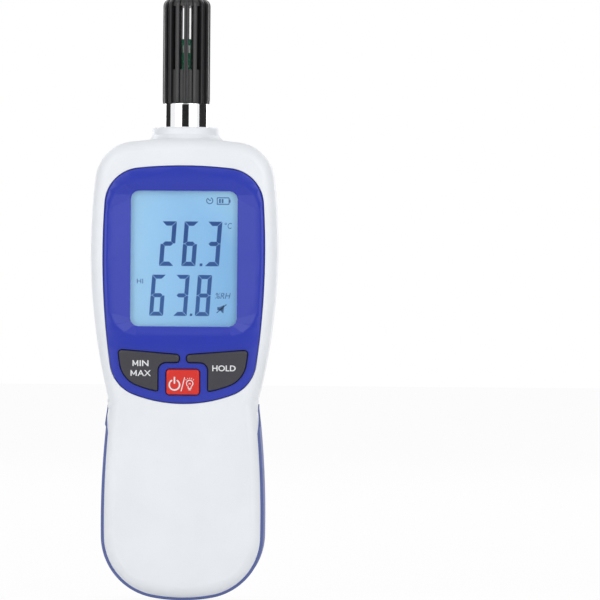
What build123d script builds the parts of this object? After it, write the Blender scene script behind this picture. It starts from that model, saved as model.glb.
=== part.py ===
from build123d import *
import math
import os

# Digital thermo-hygrometer: a hand-held case with a probe on top, drawn standing on its lower end.
# x runs to the right seen from the front, y runs from the front to the back, z runs up to the probe.
# The parting plane between the case halves and the probe's axis lie at y = 0.
# When the pieces are written, all of them move so that the origin is the tripod socket's mouth.

# Display window and the slope that leads down to it
WINDOW_WIDTH = 36.1
WINDOW_HEIGHT = 45.9
WINDOW_CORNER_R = 2.8
LIP_THICKNESS = 0.8
SCOOP_DEPTH = 1.4
SCOOP_SIDE_GAIN = 4.0
SCOOP_FOOT_GAIN = 2.2
SCOOP_TOP_GAIN = 1.8
SCOOP_CORNER_GAIN = 3.4
SCOOP_HEADROOM = 0.6

# Lens, glass and backlight behind the window
LENS_THICKNESS = 1.2
LENS_LAP = 1.45
LENS_CORNER_R = 2.0
LENS_GAP = 0.15
LENS_FRAME_WALL = 1.2
LENS_FRAME_END = 0.2
GASKET_THICKNESS = 0.3
GASKET_WIDTH = 0.9
GLASS_THICKNESS = 1.1
GLASS_LAP = 1.15
CONTACT_LEDGE = 3.2
BACKLIGHT_THICKNESS = 2.8
BACKLIGHT_GAP = 0.2
FRAME_WALL = 0.9
FRAME_GAP = 0.1
FRAME_BAR = 0.9
ZEBRA_THICKNESS = 1.8

# Circuit board
BOARD_THICKNESS = 1.6
BOARD_STANDOFF = 6.8
BOARD_TAIL = 9.8
BOARD_TAIL_HALF = 18.0
BOARD_BROW = 5.4
BOARD_BROW_HALF = 17.2
BOARD_CORNER_R = 1.5

# Case walls and surfaces
WALL = 2.4
FRONT_CROWN_R = 1100.0
FRONT_EDGE_R = 5.5
BACK_EDGE_R = 3.5
CASE_TOP_R = 154.0
CASE_END_R = 56.0
CASE_SHOULDER_R = 14.0
CASE_END_CORNER_R = 21.5
WAIST_CORNER_R = 14.0
TONGUE_THICKNESS = 0.8
TONGUE_HEIGHT = 1.0
TONGUE_GAP = 0.1

# Bezel
BEZEL_SIDE = 9.35
BEZEL_TAPER = 2.4
BEZEL_BROW = 8.5
BEZEL_SHOULDER = 29.6
BEZEL_END_HEIGHT = 15.4
BEZEL_TOP_R = 143.0
BEZEL_END_R = 47.0
BEZEL_SHOULDER_R = 12.5
BEZEL_END_CORNER_R = 12.5
BEZEL_THICKNESS = 2.6
BEZEL_PROUD = 0.5
BEZEL_EDGE = 0.7
BEZEL_GAP = 0.15
LEDGE_WIDTH = 1.6
LEDGE_RIM = 2.0
LEDGE_THICKNESS = 1.5
CASE_SIDE = 4.6
CASE_BROW = 9.6
HEAD_DROP = 37.7

# Keys
KEY_RIM = 3.1
POWER_RIM = 2.8
POWER_WIDTH = 11.8
POWER_HEIGHT = 9.1
KEY_FOOT_RISE = 1.3
KEY_WEB = 2.3
ARM_WEB = 1.8
ARM_HEIGHT = 3.1
ARM_RISE = 0.079
KEY_BRIDGE = 1.92
KEY_CORNER_R = 1.4
KEY_FOOT_R = 0.8
KEY_NOTCH_R = 2.5
KEY_GAP = 0.28
KEY_PROUD = 1.0
KEY_EDGE = 0.4
KEY_FLANGE_LAP = 0.8
KEY_FLANGE_THICKNESS = 1.2
KEY_FLANGE_GAP = 0.3
KEY_TRAVEL = 0.8
KEY_REST_GAP = 0.15
STEM_R = 2.4
PILL_R = 2.1
PILL_THICKNESS = 0.5
MAT_THICKNESS = 1.0
MAT_HOLE_GAP = 0.5
MAT_EDGE_GAP = 0.9
SIDE_STEM_X = 12.6
SIDE_STEM_DROP = 2.4
BEZEL_TO_WINDOW = 9.3

# Batteries and their compartment
CELL_R = 5.25
CELL_LENGTH = 44.5
CELL_NUB_R = 1.9
CELL_NUB_LENGTH = 1.2
CELL_PITCH = 12.0
CELL_GAP = 0.25
CELL_LID_GAP = 0.6
CONTACT_THICKNESS = 0.4
CONTACT_WIDTH = 9.0
CONTACT_DEPTH = 3.15
CONTACT_RISE = 4.2
CONTACT_END_GAP = 0.05
CONTACT_TAB_WIDTH = 2.4
CONTACT_TAB_OUT = 0.8
SPRING_LENGTH = 5.0
SPRING_R = 2.9
SPRING_WIRE = 0.6
SPRING_TURNS = 3
SPRING_STEPS = 12
TUB_WALL = 1.6
TUB_FLOOR = 1.3
TUB_CLEAR = 0.35
LEAD_R = 0.55
LEAD_BEND_R = 2.2

# Battery door, its hinge tabs and its latch
DOOR_THICKNESS = 2.0
DOOR_SIDE = 2.6
DOOR_FOOT = 9.0
DOOR_FOOT_BOW = 0.7
DOOR_FOOT_MARGIN = 5.0
DOOR_TOP_MARGIN = 3.9
DOOR_CORNER_R = 2.0
DOOR_GAP = 0.25
DOOR_UNDER_GAP = 0.25
DOOR_RIB_HEIGHT = 0.35
DOOR_RIB_WIDTH = 1.2
LEDGE_LAP = 2.3
LEDGE_DEPTH = 1.5
TAB_X = 11.0
TAB_WIDTH = 6.0
TAB_THICKNESS = 1.2
TAB_REACH = 2.0
TAB_ROOT = 1.5
TAB_SINK = 0.2
TAB_SWEEP_GAP = 0.35
HINGE_BLOCK_FOOT = 6.5
HINGE_BLOCK_DEPTH = 3.4
HINGE_RISE = 0.2
SCOOP_HALF_FOOT = 8.6
SCOOP_HALF_TOP = 8.1
THUMB_LENGTH = 4.5
THUMB_DEPTH = 2.8
SPRING_LEG = 1.2
SPRING_DEPTH = 7.4
PAD_HALF = 6.95
PAD_HEIGHT = 4.6
PAD_THICKNESS = 1.6
PAD_GAP = 0.35
LATCH_LEG_RISE = 1.3
LATCH_HEEL_GAP = 0.15
NIB_REACH = 1.0
NIB_THICKNESS = 1.2
NIB_GAP = 0.25
NIB_HALF = 5.0
LATCH_WALL = 1.3

# Case outline below the head
HIP_SIDE = 7.6
HIP_HEIGHT = 27.0
WAIST_INSET = 2.5
WAIST_DROP = 1.5
BEZEL_FOOT_RISE = 0.3

# Grip band
BAND_DEPTH = 1.0
BAND_PROUD = 0.4
BAND_FIT = 0.06
BAND_FRONT_FOOT = 8.7
BAND_FRONT_MID = 6.0
BAND_FRONT_TOP = 4.1
BAND_BACK = 4.5
BAND_ARCH_DROP = 9.8

# Screws
CASE_SCREW_HEAD_R = 2.5
CASE_SCREW_HEAD_HEIGHT = 1.9
CASE_SCREW_R = 1.2
CASE_SCREW_LENGTH = 12.0
CASE_SCREW_TOP_IN = 11.5
CASE_SCREW_TOP_DROP = 8.6
CASE_SCREW_FOOT_IN = 8.9
CASE_SCREW_FOOT_RISE = 0.6
WELL_GAP = 0.25
WELL_WALL = 1.0
WELL_TOP_DEPTH = 2.6
WELL_FOOT_DEPTH = 8.0
POST_R = 2.4
POST_TOP_END = 5.5
POST_FOOT_END = 0.0
PILOT_GAP = 0.05
SHANK_GAP = 0.3
HEX_SOCKET = 2.4
HEX_DEPTH = 1.1
BOARD_SCREW_X = 15.0
BOARD_SCREW_TAIL_DROP = 7.1
BOARD_SCREW_HEAD_R = 1.9
BOARD_SCREW_HEAD_HEIGHT = 1.3
BOARD_SCREW_R = 0.95
BOARD_SCREW_LENGTH = 5.0
BOARD_POST_R = 2.3

# Tripod socket and label
INSERT_R = 4.55
INSERT_BORE_R = 3.175
INSERT_LENGTH = 9.0
INSERT_CHAMFER = 0.6
INSERT_GROOVE_DEPTH = 0.5
INSERT_GROOVE_WIDTH = 1.6
INSERT_WALL = 2.2
INSERT_FLOOR = 1.2
TRIPOD_ABOVE_LABEL = 11.5
LABEL_WIDTH = 35.3
LABEL_HEIGHT = 24.2
LABEL_CORNER_R = 1.5
LABEL_THICKNESS = 0.2
LABEL_RECESS = 0.25
LABEL_GAP = 0.15
LABEL_RISE = 9.55

# Neck, collar and sensor probe
COLLAR_R = 7.6
COLLAR_WALL = 1.0
COLLAR_OUT = 8.2
COLLAR_FLANGE_R = 9.0
COLLAR_FLANGE_HEIGHT = 1.7
COLLAR_TAIL = 2.2
COLLAR_FIT = 0.1
NECK_WALL = 3.7
NECK_HEIGHT = 3.8
NECK_ROOT = 6.0
NECK_FLARE = 1.4
NECK_EDGE = 0.5
FLANGE_BELOW_NECK = 3.2
GUARD_R = 8.1
GUARD_BORE_R = 5.5
GUARD_LENGTH = 35.8
GUARD_DOME_R = 2.6
GUARD_SPIGOT = 6.0
GUARD_FIT = 0.05
FLUTE_COUNT = 16
FLUTE_WIDTH = 1.6
FLUTE_DEPTH = 0.9
SLOT_FOOT = 11.4
SLOT_BELOW_TOP = 2.7
SENSOR_BOARD_WIDTH = 6.4
SENSOR_BOARD_THICKNESS = 1.0
SENSOR_BOARD_BELOW_TOP = 13.7
SENSOR_BOARD_TAIL = 13.5
SENSOR_CHIP_WIDTH = 2.5
SENSOR_CHIP_THICKNESS = 0.9
SENSOR_CHIP_DROP = 2.2
HOLDER_HEIGHT = 3.0
HOLDER_GAP = 0.1
RIBBON_WIDTH = 5.0
RIBBON_THICKNESS = 0.5
RIBBON_BEND_R = 1.0
SOCKET_WIDTH = 7.0
SOCKET_HEIGHT = 4.2
SOCKET_DEPTH = 3.0

# Parts on the board
BUZZER_R = 6.0
BUZZER_HEIGHT = 3.6
CHIP_WIDTH = 12.0
CHIP_HEIGHT = 1.6
CRYSTAL_LENGTH = 10.5
CRYSTAL_WIDTH = 4.2
CRYSTAL_HEIGHT = 3.4

# Lengths of the flats that stand for a rounded edge, as shares of its radius
FLAT_AT_45 = 2 - math.sqrt(2)
FLAT_AT_22 = (1 - math.tan(math.radians(11.25))) - FLAT_AT_45

# Depths, from the parting plane forwards and backwards
BOARD_BACK_Y = -BOARD_STANDOFF
BOARD_FRONT_Y = BOARD_BACK_Y - BOARD_THICKNESS
BACKLIGHT_BACK_Y = BOARD_FRONT_Y - BACKLIGHT_GAP
BACKLIGHT_FRONT_Y = BACKLIGHT_BACK_Y - BACKLIGHT_THICKNESS
GLASS_MID_Y = BACKLIGHT_FRONT_Y - GLASS_THICKNESS
GLASS_FRONT_Y = GLASS_MID_Y - GLASS_THICKNESS
LENS_BACK_Y = GLASS_FRONT_Y - GASKET_THICKNESS
LENS_FRONT_Y = LENS_BACK_Y - LENS_THICKNESS
LIP_FRONT_Y = LENS_FRONT_Y - LIP_THICKNESS
FRONT_Y = LIP_FRONT_Y - SCOOP_DEPTH
TUB_FLOOR_Y = TUB_CLEAR + TUB_FLOOR
CELL_Y = TUB_FLOOR_Y + CELL_GAP + CELL_R
DOOR_INNER_Y = CELL_Y + CELL_R + CELL_LID_GAP
BACK_Y = DOOR_INNER_Y + DOOR_THICKNESS
LEDGE_TOP_Y = DOOR_INNER_Y - DOOR_UNDER_GAP
WALL_INNER_Y = BACK_Y - WALL
BEZEL_SINK = BEZEL_THICKNESS - BEZEL_PROUD

# Heights, from the lower end up
TUB_FOOT_Z = DOOR_FOOT + DOOR_FOOT_MARGIN
TUB_TOP_Z = TUB_FOOT_Z + 2 * CONTACT_THICKNESS + CELL_LENGTH + SPRING_LENGTH + 2 * CONTACT_END_GAP
DOOR_TOP_Z = TUB_TOP_Z + DOOR_TOP_MARGIN
HINGE_Z = DOOR_FOOT + HINGE_RISE
THUMB_TOP_Z = DOOR_TOP_Z + THUMB_LENGTH
PAD_TOP_Z = THUMB_TOP_Z + PAD_HEIGHT
LATCH_TOP_Z = PAD_TOP_Z + PAD_GAP
WAIST_Z = DOOR_TOP_Z - WAIST_DROP
BEZEL_FOOT_Z = WAIST_Z + BEZEL_FOOT_RISE
POWER_FOOT_Z = BEZEL_FOOT_Z + POWER_RIM
POWER_TOP_Z = POWER_FOOT_Z + POWER_HEIGHT
KEY_FOOT_Z = POWER_FOOT_Z + KEY_FOOT_RISE
ARM_FOOT_Z = POWER_TOP_Z + ARM_WEB
ARM_TOP_Z = ARM_FOOT_Z + ARM_HEIGHT
WINDOW_FOOT_Z = ARM_TOP_Z + BEZEL_TO_WINDOW
WINDOW_TOP_Z = WINDOW_FOOT_Z + WINDOW_HEIGHT
WINDOW_MID_Z = (WINDOW_FOOT_Z + WINDOW_TOP_Z) / 2
BEZEL_TOP_Z = WINDOW_TOP_Z + BEZEL_BROW
CASE_TOP_Z = BEZEL_TOP_Z + CASE_BROW
HEAD_Z = CASE_TOP_Z - HEAD_DROP
LABEL_FOOT_Z = LATCH_TOP_Z + LABEL_RISE
LABEL_MID_Z = LABEL_FOOT_Z + LABEL_HEIGHT / 2
TRIPOD_Z = LABEL_FOOT_Z + LABEL_HEIGHT + TRIPOD_ABOVE_LABEL
NECK_TOP_Z = CASE_TOP_Z + NECK_HEIGHT
COLLAR_TOP_Z = NECK_TOP_Z + COLLAR_OUT
GUARD_TOP_Z = COLLAR_TOP_Z + GUARD_LENGTH
SENSOR_TOP_Z = GUARD_TOP_Z - SENSOR_BOARD_BELOW_TOP
SENSOR_FOOT_Z = NECK_TOP_Z - SENSOR_BOARD_TAIL

# Half widths, from the middle out
WINDOW_HALF = WINDOW_WIDTH / 2
GLASS_HALF = WINDOW_HALF + GLASS_LAP
FRAME_HALF = GLASS_HALF + FRAME_GAP + FRAME_WALL
BOARD_HALF = FRAME_HALF
BEZEL_HALF = WINDOW_HALF + BEZEL_SIDE
BEZEL_FOOT_HALF = BEZEL_HALF - BEZEL_TAPER
HEAD_HALF = BEZEL_HALF + CASE_SIDE
TUB_HALF = CELL_PITCH + CELL_R + CELL_GAP
DOOR_HALF = TUB_HALF + DOOR_SIDE
HIP_HALF = DOOR_HALF + HIP_SIDE
WAIST_HALF = HIP_HALF - WAIST_INSET
NECK_R = COLLAR_R + COLLAR_FIT + NECK_WALL

# Screw places seen from the front, as x and z
CASE_SCREWS_TOP = [(side * (HEAD_HALF - CASE_SCREW_TOP_IN), CASE_TOP_Z - CASE_SCREW_TOP_DROP) for side in (-1, 1)]
CASE_SCREWS_FOOT = [(side * (HEAD_HALF - CASE_SCREW_FOOT_IN), WINDOW_FOOT_Z + CASE_SCREW_FOOT_RISE) for side in (-1, 1)]
BOARD_SCREWS = [(side * BOARD_SCREW_X, BEZEL_FOOT_Z - BOARD_SCREW_TAIL_DROP) for side in (-1, 1)]
TAB_PLACES = (-TAB_X, TAB_X)


# Drawing helpers

def prism(sketch, front_y, back_y):
    """Carries an outline drawn in x and z from one depth to another."""
    return extrude(Plane.XZ.offset(-back_y) * sketch, amount=back_y - front_y)


def bar(sketch, half_width):
    """Carries an outline drawn in y and z across the part, the same distance to each side."""
    return extrude(Plane.YZ.offset(-half_width) * sketch, amount=2 * half_width)


def block(x_low, x_high, y_low, y_high, z_low, z_high):
    corner = (Align.MIN, Align.MIN, Align.MIN)
    return Pos(x_low, y_low, z_low) * Box(x_high - x_low, y_high - y_low, z_high - z_low, align=corner)


def post(place, radius, front_y, back_y):
    """A round post along y at a place given as x and z."""
    return prism(Pos(*place) * Circle(radius), front_y, back_y)


def outline_face(points):
    return make_face(Polyline(*points, close=True))


def line_or_arc(edge):
    if edge.geom_type == GeomType.LINE:
        return Line(edge @ 0, edge @ 1)
    return ThreePointArc(edge @ 0, edge @ 0.5, edge @ 1)


def parallel(face, gap):
    """An outline at an even distance outside a face's edge, or inside it where the gap is negative."""
    moved = offset(face, amount=gap, kind=Kind.ARC)
    return make_face([line_or_arc(edge) for edge in moved.edges()])


def disc_across(end_z, radius, grow):
    """A disc on the middle line that ends at a height, above it or, with a negative radius, below it."""
    return Pos(0, end_z - radius) * Circle(abs(radius) + grow)


def lens_between(upright, far, grow):
    """Both sides' arcs as the overlap of two discs: upright at one point, and reaching another."""
    (x, z), (far_x, far_z) = upright, far
    radius = ((x - far_x) ** 2 + (z - far_z) ** 2) / (2 * (x - far_x))
    return Pos(x - radius, z) * Circle(radius + grow) & Pos(radius - x, z) * Circle(radius + grow)


def corners_of(face, low, high):
    """An outline's corners between two heights, without those on the middle line."""
    return [v for v in face.vertices() if low < v.Y < high and abs(v.X) > 1]


def window_rectangle(lap, corner_r):
    """The display window's rectangle, larger by a lap on every side."""
    return Pos(0, WINDOW_MID_Z) * RectangleRounded(WINDOW_WIDTH + 2 * lap, WINDOW_HEIGHT + 2 * lap, corner_r)


# Case form shared by the halves, the bezel and the grip band

def case_outline(grow):
    """The case seen from the front, at an even distance outside its edge: end, hips, waist and head."""
    waist = (WAIST_HALF, WAIST_Z)
    head = lens_between((HEAD_HALF, HEAD_Z), waist, grow)
    hips = lens_between((HIP_HALF, HIP_HEIGHT), waist, grow)
    foot = disc_across(0, -CASE_END_R, grow)
    foot += Pos(0, CASE_TOP_Z) * Rectangle(2 * (CASE_END_R + grow), 2 * (CASE_TOP_Z - CASE_END_R))
    outline = (head + hips) & disc_across(CASE_TOP_Z, CASE_TOP_R, grow) & foot
    outline = fillet(corners_of(outline, HEAD_Z, 2 * CASE_TOP_Z), CASE_SHOULDER_R + grow)
    outline = fillet(corners_of(outline, -HIP_HEIGHT, HIP_HEIGHT), CASE_END_CORNER_R + grow)
    return fillet(corners_of(outline, HIP_HEIGHT, HEAD_Z), WAIST_CORNER_R - grow)


def front_y(place, depth=0.0):
    """Where the crowned front surface lies over a place given as x and z."""
    _, z = place
    return FRONT_Y + depth + (z - HEAD_Z) ** 2 / (2 * FRONT_CROWN_R)


def behind_front(depth):
    """Everything behind the crowned front surface, sunk by a depth."""
    crown = Pos(FRONT_Y + FRONT_CROWN_R, HEAD_Z) * Circle(FRONT_CROWN_R - depth)
    return bar(crown, HEAD_HALF + 8)


def case_blank(grow):
    """The case form with sharp edges, grown outwards or, with a negative value, shrunk inwards."""
    return prism(case_outline(grow), FRONT_Y - 10, BACK_Y + grow) & behind_front(-grow)


def foremost(body):
    return min(body.faces(), key=lambda face: face.center().Y)


def case_body(grow):
    """The case form with its edges rounded by flats: two round the front, one round the back."""
    front_r = FRONT_EDGE_R + grow
    body = case_blank(grow)
    body = chamfer(foremost(body).edges(), front_r * FLAT_AT_45)
    body = chamfer(foremost(body).edges(), front_r * FLAT_AT_22)
    back = max(body.faces(), key=lambda face: face.center().Y)
    return chamfer(back.edges(), (BACK_EDGE_R + grow) * FLAT_AT_45)


def case_with_neck():
    """The outer form with the round neck, whose foot flares onto the shoulders."""
    neck = Pos(0, 0, CASE_TOP_Z - NECK_ROOT) * extrude(Circle(NECK_R), NECK_ROOT + NECK_HEIGHT)
    joined = OUTER_FORM + neck

    def is_root(edge):
        reach = [math.hypot((edge @ t).X, (edge @ t).Y) for t in (0, 0.5, 1)]
        return all(abs(r - NECK_R) < 0.02 for r in reach) and (edge @ 0.5).Z < NECK_TOP_Z - 0.5

    flared = chamfer([edge for edge in joined.edges() if is_root(edge)], NECK_FLARE)
    top_edge = max(flared.edges().filter_by(GeomType.CIRCLE), key=lambda edge: edge.center().Z)
    return chamfer(top_edge, NECK_EDGE)


def band_side(shrink):
    """The grip band seen from the side: from the lower end up to an arch at the waist."""
    foot = (FRONT_Y + BAND_FRONT_FOOT + shrink, 0)
    middle = (FRONT_Y + BAND_FRONT_MID + shrink, HIP_HEIGHT)
    front_top = (FRONT_Y + BAND_FRONT_TOP + shrink, WAIST_Z - BAND_ARCH_DROP)
    back_top = (BACK_Y - BAND_BACK - shrink, WAIST_Z - BAND_ARCH_DROP)
    front = ThreePointArc(foot, middle, front_top)
    arch = ThreePointArc(front_top, (0, WAIST_Z - shrink), back_top)
    below = -BAND_ARCH_DROP
    rest = Polyline(back_top, (back_top[0], below), (foot[0], below), foot)
    return make_face([front, arch, rest])


def band_zone(shrink):
    return bar(band_side(shrink), HEAD_HALF + 5)


# Case halves

def tongue(gap, height):
    """The step inside the parting line, along the head's two long sides."""
    ring = case_outline(-(WALL - TONGUE_THICKNESS - gap)) - case_outline(-WALL)
    low = BEZEL_FOOT_Z + BEZEL_END_HEIGHT - gap
    high = HEAD_Z + gap
    return prism(ring, -height, 0) & block(-HEAD_HALF, HEAD_HALF, -height, 0, low, high)


def neck_bore():
    """The bore through the neck, with the groove that holds the collar's flange."""
    bore_r = COLLAR_R + COLLAR_FIT
    groove_r = COLLAR_FLANGE_R + COLLAR_FIT
    groove_z = NECK_TOP_Z - FLANGE_BELOW_NECK - COLLAR_FLANGE_HEIGHT - GUARD_FIT
    bore = Pos(0, 0, CASE_TOP_Z - NECK_ROOT - WALL) * extrude(Circle(bore_r), NECK_ROOT + NECK_HEIGHT + WALL + 5)
    groove = Pos(0, 0, groove_z) * extrude(Circle(groove_r), COLLAR_FLANGE_HEIGHT + 2 * GUARD_FIT)
    return bore + groove


def front_case():
    """Front half: crowned shell, stepped opening for the bezel, and posts for board and case screws."""
    front_half = block(-HEAD_HALF - 5, HEAD_HALF + 5, FRONT_Y - 5, 0, -5, GUARD_TOP_Z)
    shell = (FULL_FORM & front_half) - CAVITY
    seat = bezel_outline(BEZEL_GAP)
    rim = bezel_outline(LEDGE_RIM)
    opening = bezel_outline(-LEDGE_WIDTH)
    ledge = prism(rim, FRONT_Y - 2, -6) & behind_front(WALL / 2)
    ledge -= behind_front(BEZEL_SINK + LEDGE_THICKNESS)
    shell += ledge
    shell -= prism(seat, FRONT_Y - 4, -5) - behind_front(BEZEL_SINK)
    shell -= prism(opening, FRONT_Y - 4, -4)
    for place in BOARD_SCREWS:
        shell += post(place, BOARD_POST_R, front_y(place, WALL / 2), BOARD_FRONT_Y)
    for place in CASE_SCREWS_TOP:
        shell += post(place, POST_R, front_y(place, WALL / 2), POST_TOP_END)
    for place in CASE_SCREWS_FOOT:
        start_y = front_y(place, BEZEL_SINK + LEDGE_THICKNESS / 2)
        shell += post(place, POST_R, start_y, POST_FOOT_END)
        side = math.copysign(1, place[0])
        web_ends = sorted((place[0] + side * POST_R / 2, side * (HEAD_HALF - CASE_SIDE + 1.2)))
        shell += block(*web_ends, start_y, POST_FOOT_END - 2, place[1] - 0.6, place[1] + 0.6)
    shell -= neck_bore()
    shell -= tongue(TONGUE_GAP, TONGUE_HEIGHT + TONGUE_GAP)
    shell -= BAND_CUT
    for place in BOARD_SCREWS:
        depth_y = BOARD_BACK_Y - BOARD_SCREW_LENGTH - 0.4
        shell -= post(place, BOARD_SCREW_R + PILOT_GAP, depth_y, BOARD_FRONT_Y + 1)
    for place, seat_depth, end_y in case_screw_places():
        tip_y = BACK_Y - seat_depth - CASE_SCREW_LENGTH - 0.8
        shell -= post(place, CASE_SCREW_R + PILOT_GAP, tip_y, end_y + 1)
    return shell


def case_screw_places():
    """Each case screw's place, the depth of its head's seat, and where its post ends."""
    top = [(place, WELL_TOP_DEPTH, POST_TOP_END) for place in CASE_SCREWS_TOP]
    foot = [(place, WELL_FOOT_DEPTH, POST_FOOT_END) for place in CASE_SCREWS_FOOT]
    return top + foot


def door_outline():
    """The battery door seen from the front, with its lower edge bowed downwards."""
    foot_left = (-DOOR_HALF, DOOR_FOOT)
    foot_right = (DOOR_HALF, DOOR_FOOT)
    bow = ThreePointArc(foot_left, (0, DOOR_FOOT - DOOR_FOOT_BOW), foot_right)
    sides = Polyline(foot_right, (DOOR_HALF, DOOR_TOP_Z), (-DOOR_HALF, DOOR_TOP_Z), foot_left)
    face = make_face([bow, sides])
    return fillet(face.vertices(), DOOR_CORNER_R)


def cell_hollow():
    """The compartment's inside: a trough for each cell, open to the back."""
    outline = Pos(0, DOOR_INNER_Y) * Rectangle(2 * TUB_HALF, 2 * (DOOR_INNER_Y - CELL_Y))
    for column in (-1, 0, 1):
        outline += Pos(column * CELL_PITCH, CELL_Y) * Circle(CELL_R + CELL_GAP)
    return Pos(0, 0, TUB_FOOT_Z) * extrude(outline, TUB_TOP_Z - TUB_FOOT_Z)


def latch_pocket():
    """The hollow behind the thumb recess and the latch pad."""
    half = SCOOP_HALF_FOOT + DOOR_GAP
    throat = outline_face([
        (-half, DOOR_TOP_Z - 0.2),
        (half, DOOR_TOP_Z - 0.2),
        (SCOOP_HALF_TOP + DOOR_GAP, THUMB_TOP_Z),
        (PAD_HALF + PAD_GAP, THUMB_TOP_Z),
        (PAD_HALF + PAD_GAP, LATCH_TOP_Z),
        (-PAD_HALF - PAD_GAP, LATCH_TOP_Z),
        (-PAD_HALF - PAD_GAP, THUMB_TOP_Z),
        (-SCOOP_HALF_TOP - DOOR_GAP, THUMB_TOP_Z),
    ])
    floor_y = BACK_Y - SPRING_DEPTH - 2 * PAD_GAP
    inner = block(-half, half, floor_y, WALL_INNER_Y, DOOR_TOP_Z - 2 * PAD_GAP, PAD_TOP_Z + NIB_REACH + PAD_GAP)
    return prism(throat, floor_y, BACK_Y + 5) + inner


def hinge_pockets():
    """Room for the door's tabs to sit behind the edge and swing."""
    sweep_r = math.hypot(TAB_REACH + HINGE_RISE, DOOR_THICKNESS + TAB_SINK + TAB_THICKNESS) + TAB_SWEEP_GAP
    pockets = None
    for x in TAB_PLACES:
        half = TAB_WIDTH / 2 + TAB_SWEEP_GAP
        drum = Pos(x - half, BACK_Y, HINGE_Z) * (Rot(0, 90, 0) * extrude(Circle(sweep_r), 2 * half))
        under = block(x - half, x + half, 0, WALL_INNER_Y, 0, HINGE_Z)
        over = block(x - half, x + half, 0, BACK_Y, DOOR_FOOT - DOOR_GAP, TUB_TOP_Z)
        pocket = (drum & under) + (drum & over)
        pockets = pocket if pockets is None else pockets + pocket
    return pockets


def rear_case():
    """Rear half: flat shell with battery tub, door ledge, screw wells and tripod boss in one moulding."""
    back_half = block(-HEAD_HALF - 5, HEAD_HALF + 5, 0, BACK_Y + 5, -5, GUARD_TOP_Z)
    shell = (FULL_FORM & back_half) - CAVITY
    tub_half = TUB_HALF + TUB_WALL
    inner = block(-tub_half, tub_half, TUB_CLEAR, LEDGE_TOP_Y, TUB_FOOT_Z - TUB_WALL, TUB_TOP_Z + TUB_WALL)
    ledge_half = DOOR_HALF + LEDGE_LAP
    ledge_y = LEDGE_TOP_Y - LEDGE_DEPTH
    inner += block(-ledge_half, ledge_half, ledge_y, LEDGE_TOP_Y, TUB_FOOT_Z - TUB_WALL, DOOR_TOP_Z + LEDGE_LAP)
    hinge_y = LEDGE_TOP_Y - HINGE_BLOCK_DEPTH
    inner += block(-DOOR_HALF, DOOR_HALF, hinge_y, LEDGE_TOP_Y, HINGE_BLOCK_FOOT, TUB_FOOT_Z)
    pocket_half = SCOOP_HALF_FOOT + DOOR_GAP + LATCH_WALL
    pocket_y = BACK_Y - SPRING_DEPTH - 2 * PAD_GAP - LATCH_WALL
    pocket_top = PAD_TOP_Z + NIB_REACH + PAD_GAP + LATCH_WALL
    inner += block(-pocket_half, pocket_half, pocket_y, LEDGE_TOP_Y, TUB_TOP_Z, pocket_top)
    for place, _, end_y in case_screw_places():
        inner += post(place, CASE_SCREW_HEAD_R + WELL_GAP + WELL_WALL, end_y, BACK_Y - 1)
    insert_floor_y = BACK_Y - INSERT_LENGTH - INSERT_FLOOR
    inner += post((0, TRIPOD_Z), INSERT_R + INSERT_WALL, insert_floor_y, BACK_Y - 1)
    shell += inner & OUTER_FORM
    shell -= cell_hollow()
    opening = parallel(door_outline(), DOOR_GAP)
    shell -= prism(opening, LEDGE_TOP_Y, BACK_Y + 5)
    shell -= latch_pocket()
    shell -= hinge_pockets()
    shell -= contact_slots()
    shell -= neck_bore()
    shell -= BAND_CUT
    shell -= post((0, TRIPOD_Z), INSERT_R, BACK_Y - INSERT_LENGTH, BACK_Y + 5)
    label = Pos(0, LABEL_MID_Z) * RectangleRounded(
        LABEL_WIDTH + 2 * LABEL_GAP, LABEL_HEIGHT + 2 * LABEL_GAP, LABEL_CORNER_R + LABEL_GAP)
    shell -= prism(label, BACK_Y - LABEL_RECESS, BACK_Y + 5)
    for place, seat_depth, end_y in case_screw_places():
        shell -= post(place, CASE_SCREW_HEAD_R + WELL_GAP, BACK_Y - seat_depth, BACK_Y + 5)
        shell -= post(place, CASE_SCREW_R + SHANK_GAP, end_y - 1, BACK_Y)
    shell += tongue(0.0, TONGUE_HEIGHT)
    return shell


def grip_band():
    """Soft blue band round the lower half, seated in a groove across both halves."""
    return BAND_SOLID


# Bezel and window

def bezel_outline(grow):
    """The blue bezel seen from the front, at an even distance outside its edge."""
    side = (BEZEL_HALF, BEZEL_TOP_Z - BEZEL_SHOULDER)
    foot = (BEZEL_FOOT_HALF, BEZEL_FOOT_Z + BEZEL_END_HEIGHT)
    ends = disc_across(BEZEL_TOP_Z, BEZEL_TOP_R, grow) & disc_across(BEZEL_FOOT_Z, -BEZEL_END_R, grow)
    outline = lens_between(side, foot, grow) & ends
    outline = fillet(corners_of(outline, HEAD_Z, 2 * BEZEL_TOP_Z), BEZEL_SHOULDER_R + grow)
    return fillet(corners_of(outline, 0, foot[1]), BEZEL_END_CORNER_R + grow)


def window_scoop():
    """The slope round the window, widening from the lip up to the front, with corners in three flats."""
    height = SCOOP_DEPTH + BEZEL_PROUD + SCOOP_HEADROOM
    top = WINDOW_TOP_Z + SCOOP_TOP_GAIN * height
    foot = WINDOW_FOOT_Z - SCOOP_FOOT_GAIN * height
    half = WINDOW_HALF + SCOOP_SIDE_GAIN * height
    mouth = flat_cornered(half, foot, top, WINDOW_CORNER_R + SCOOP_CORNER_GAIN * height)
    sill = flat_cornered(WINDOW_HALF, WINDOW_FOOT_Z, WINDOW_TOP_Z, WINDOW_CORNER_R)
    front = Plane.XZ.offset(-(LIP_FRONT_Y - height)) * mouth
    rear = Plane.XZ.offset(-LIP_FRONT_Y) * sill
    return loft([front, rear], ruled=True)


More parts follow.
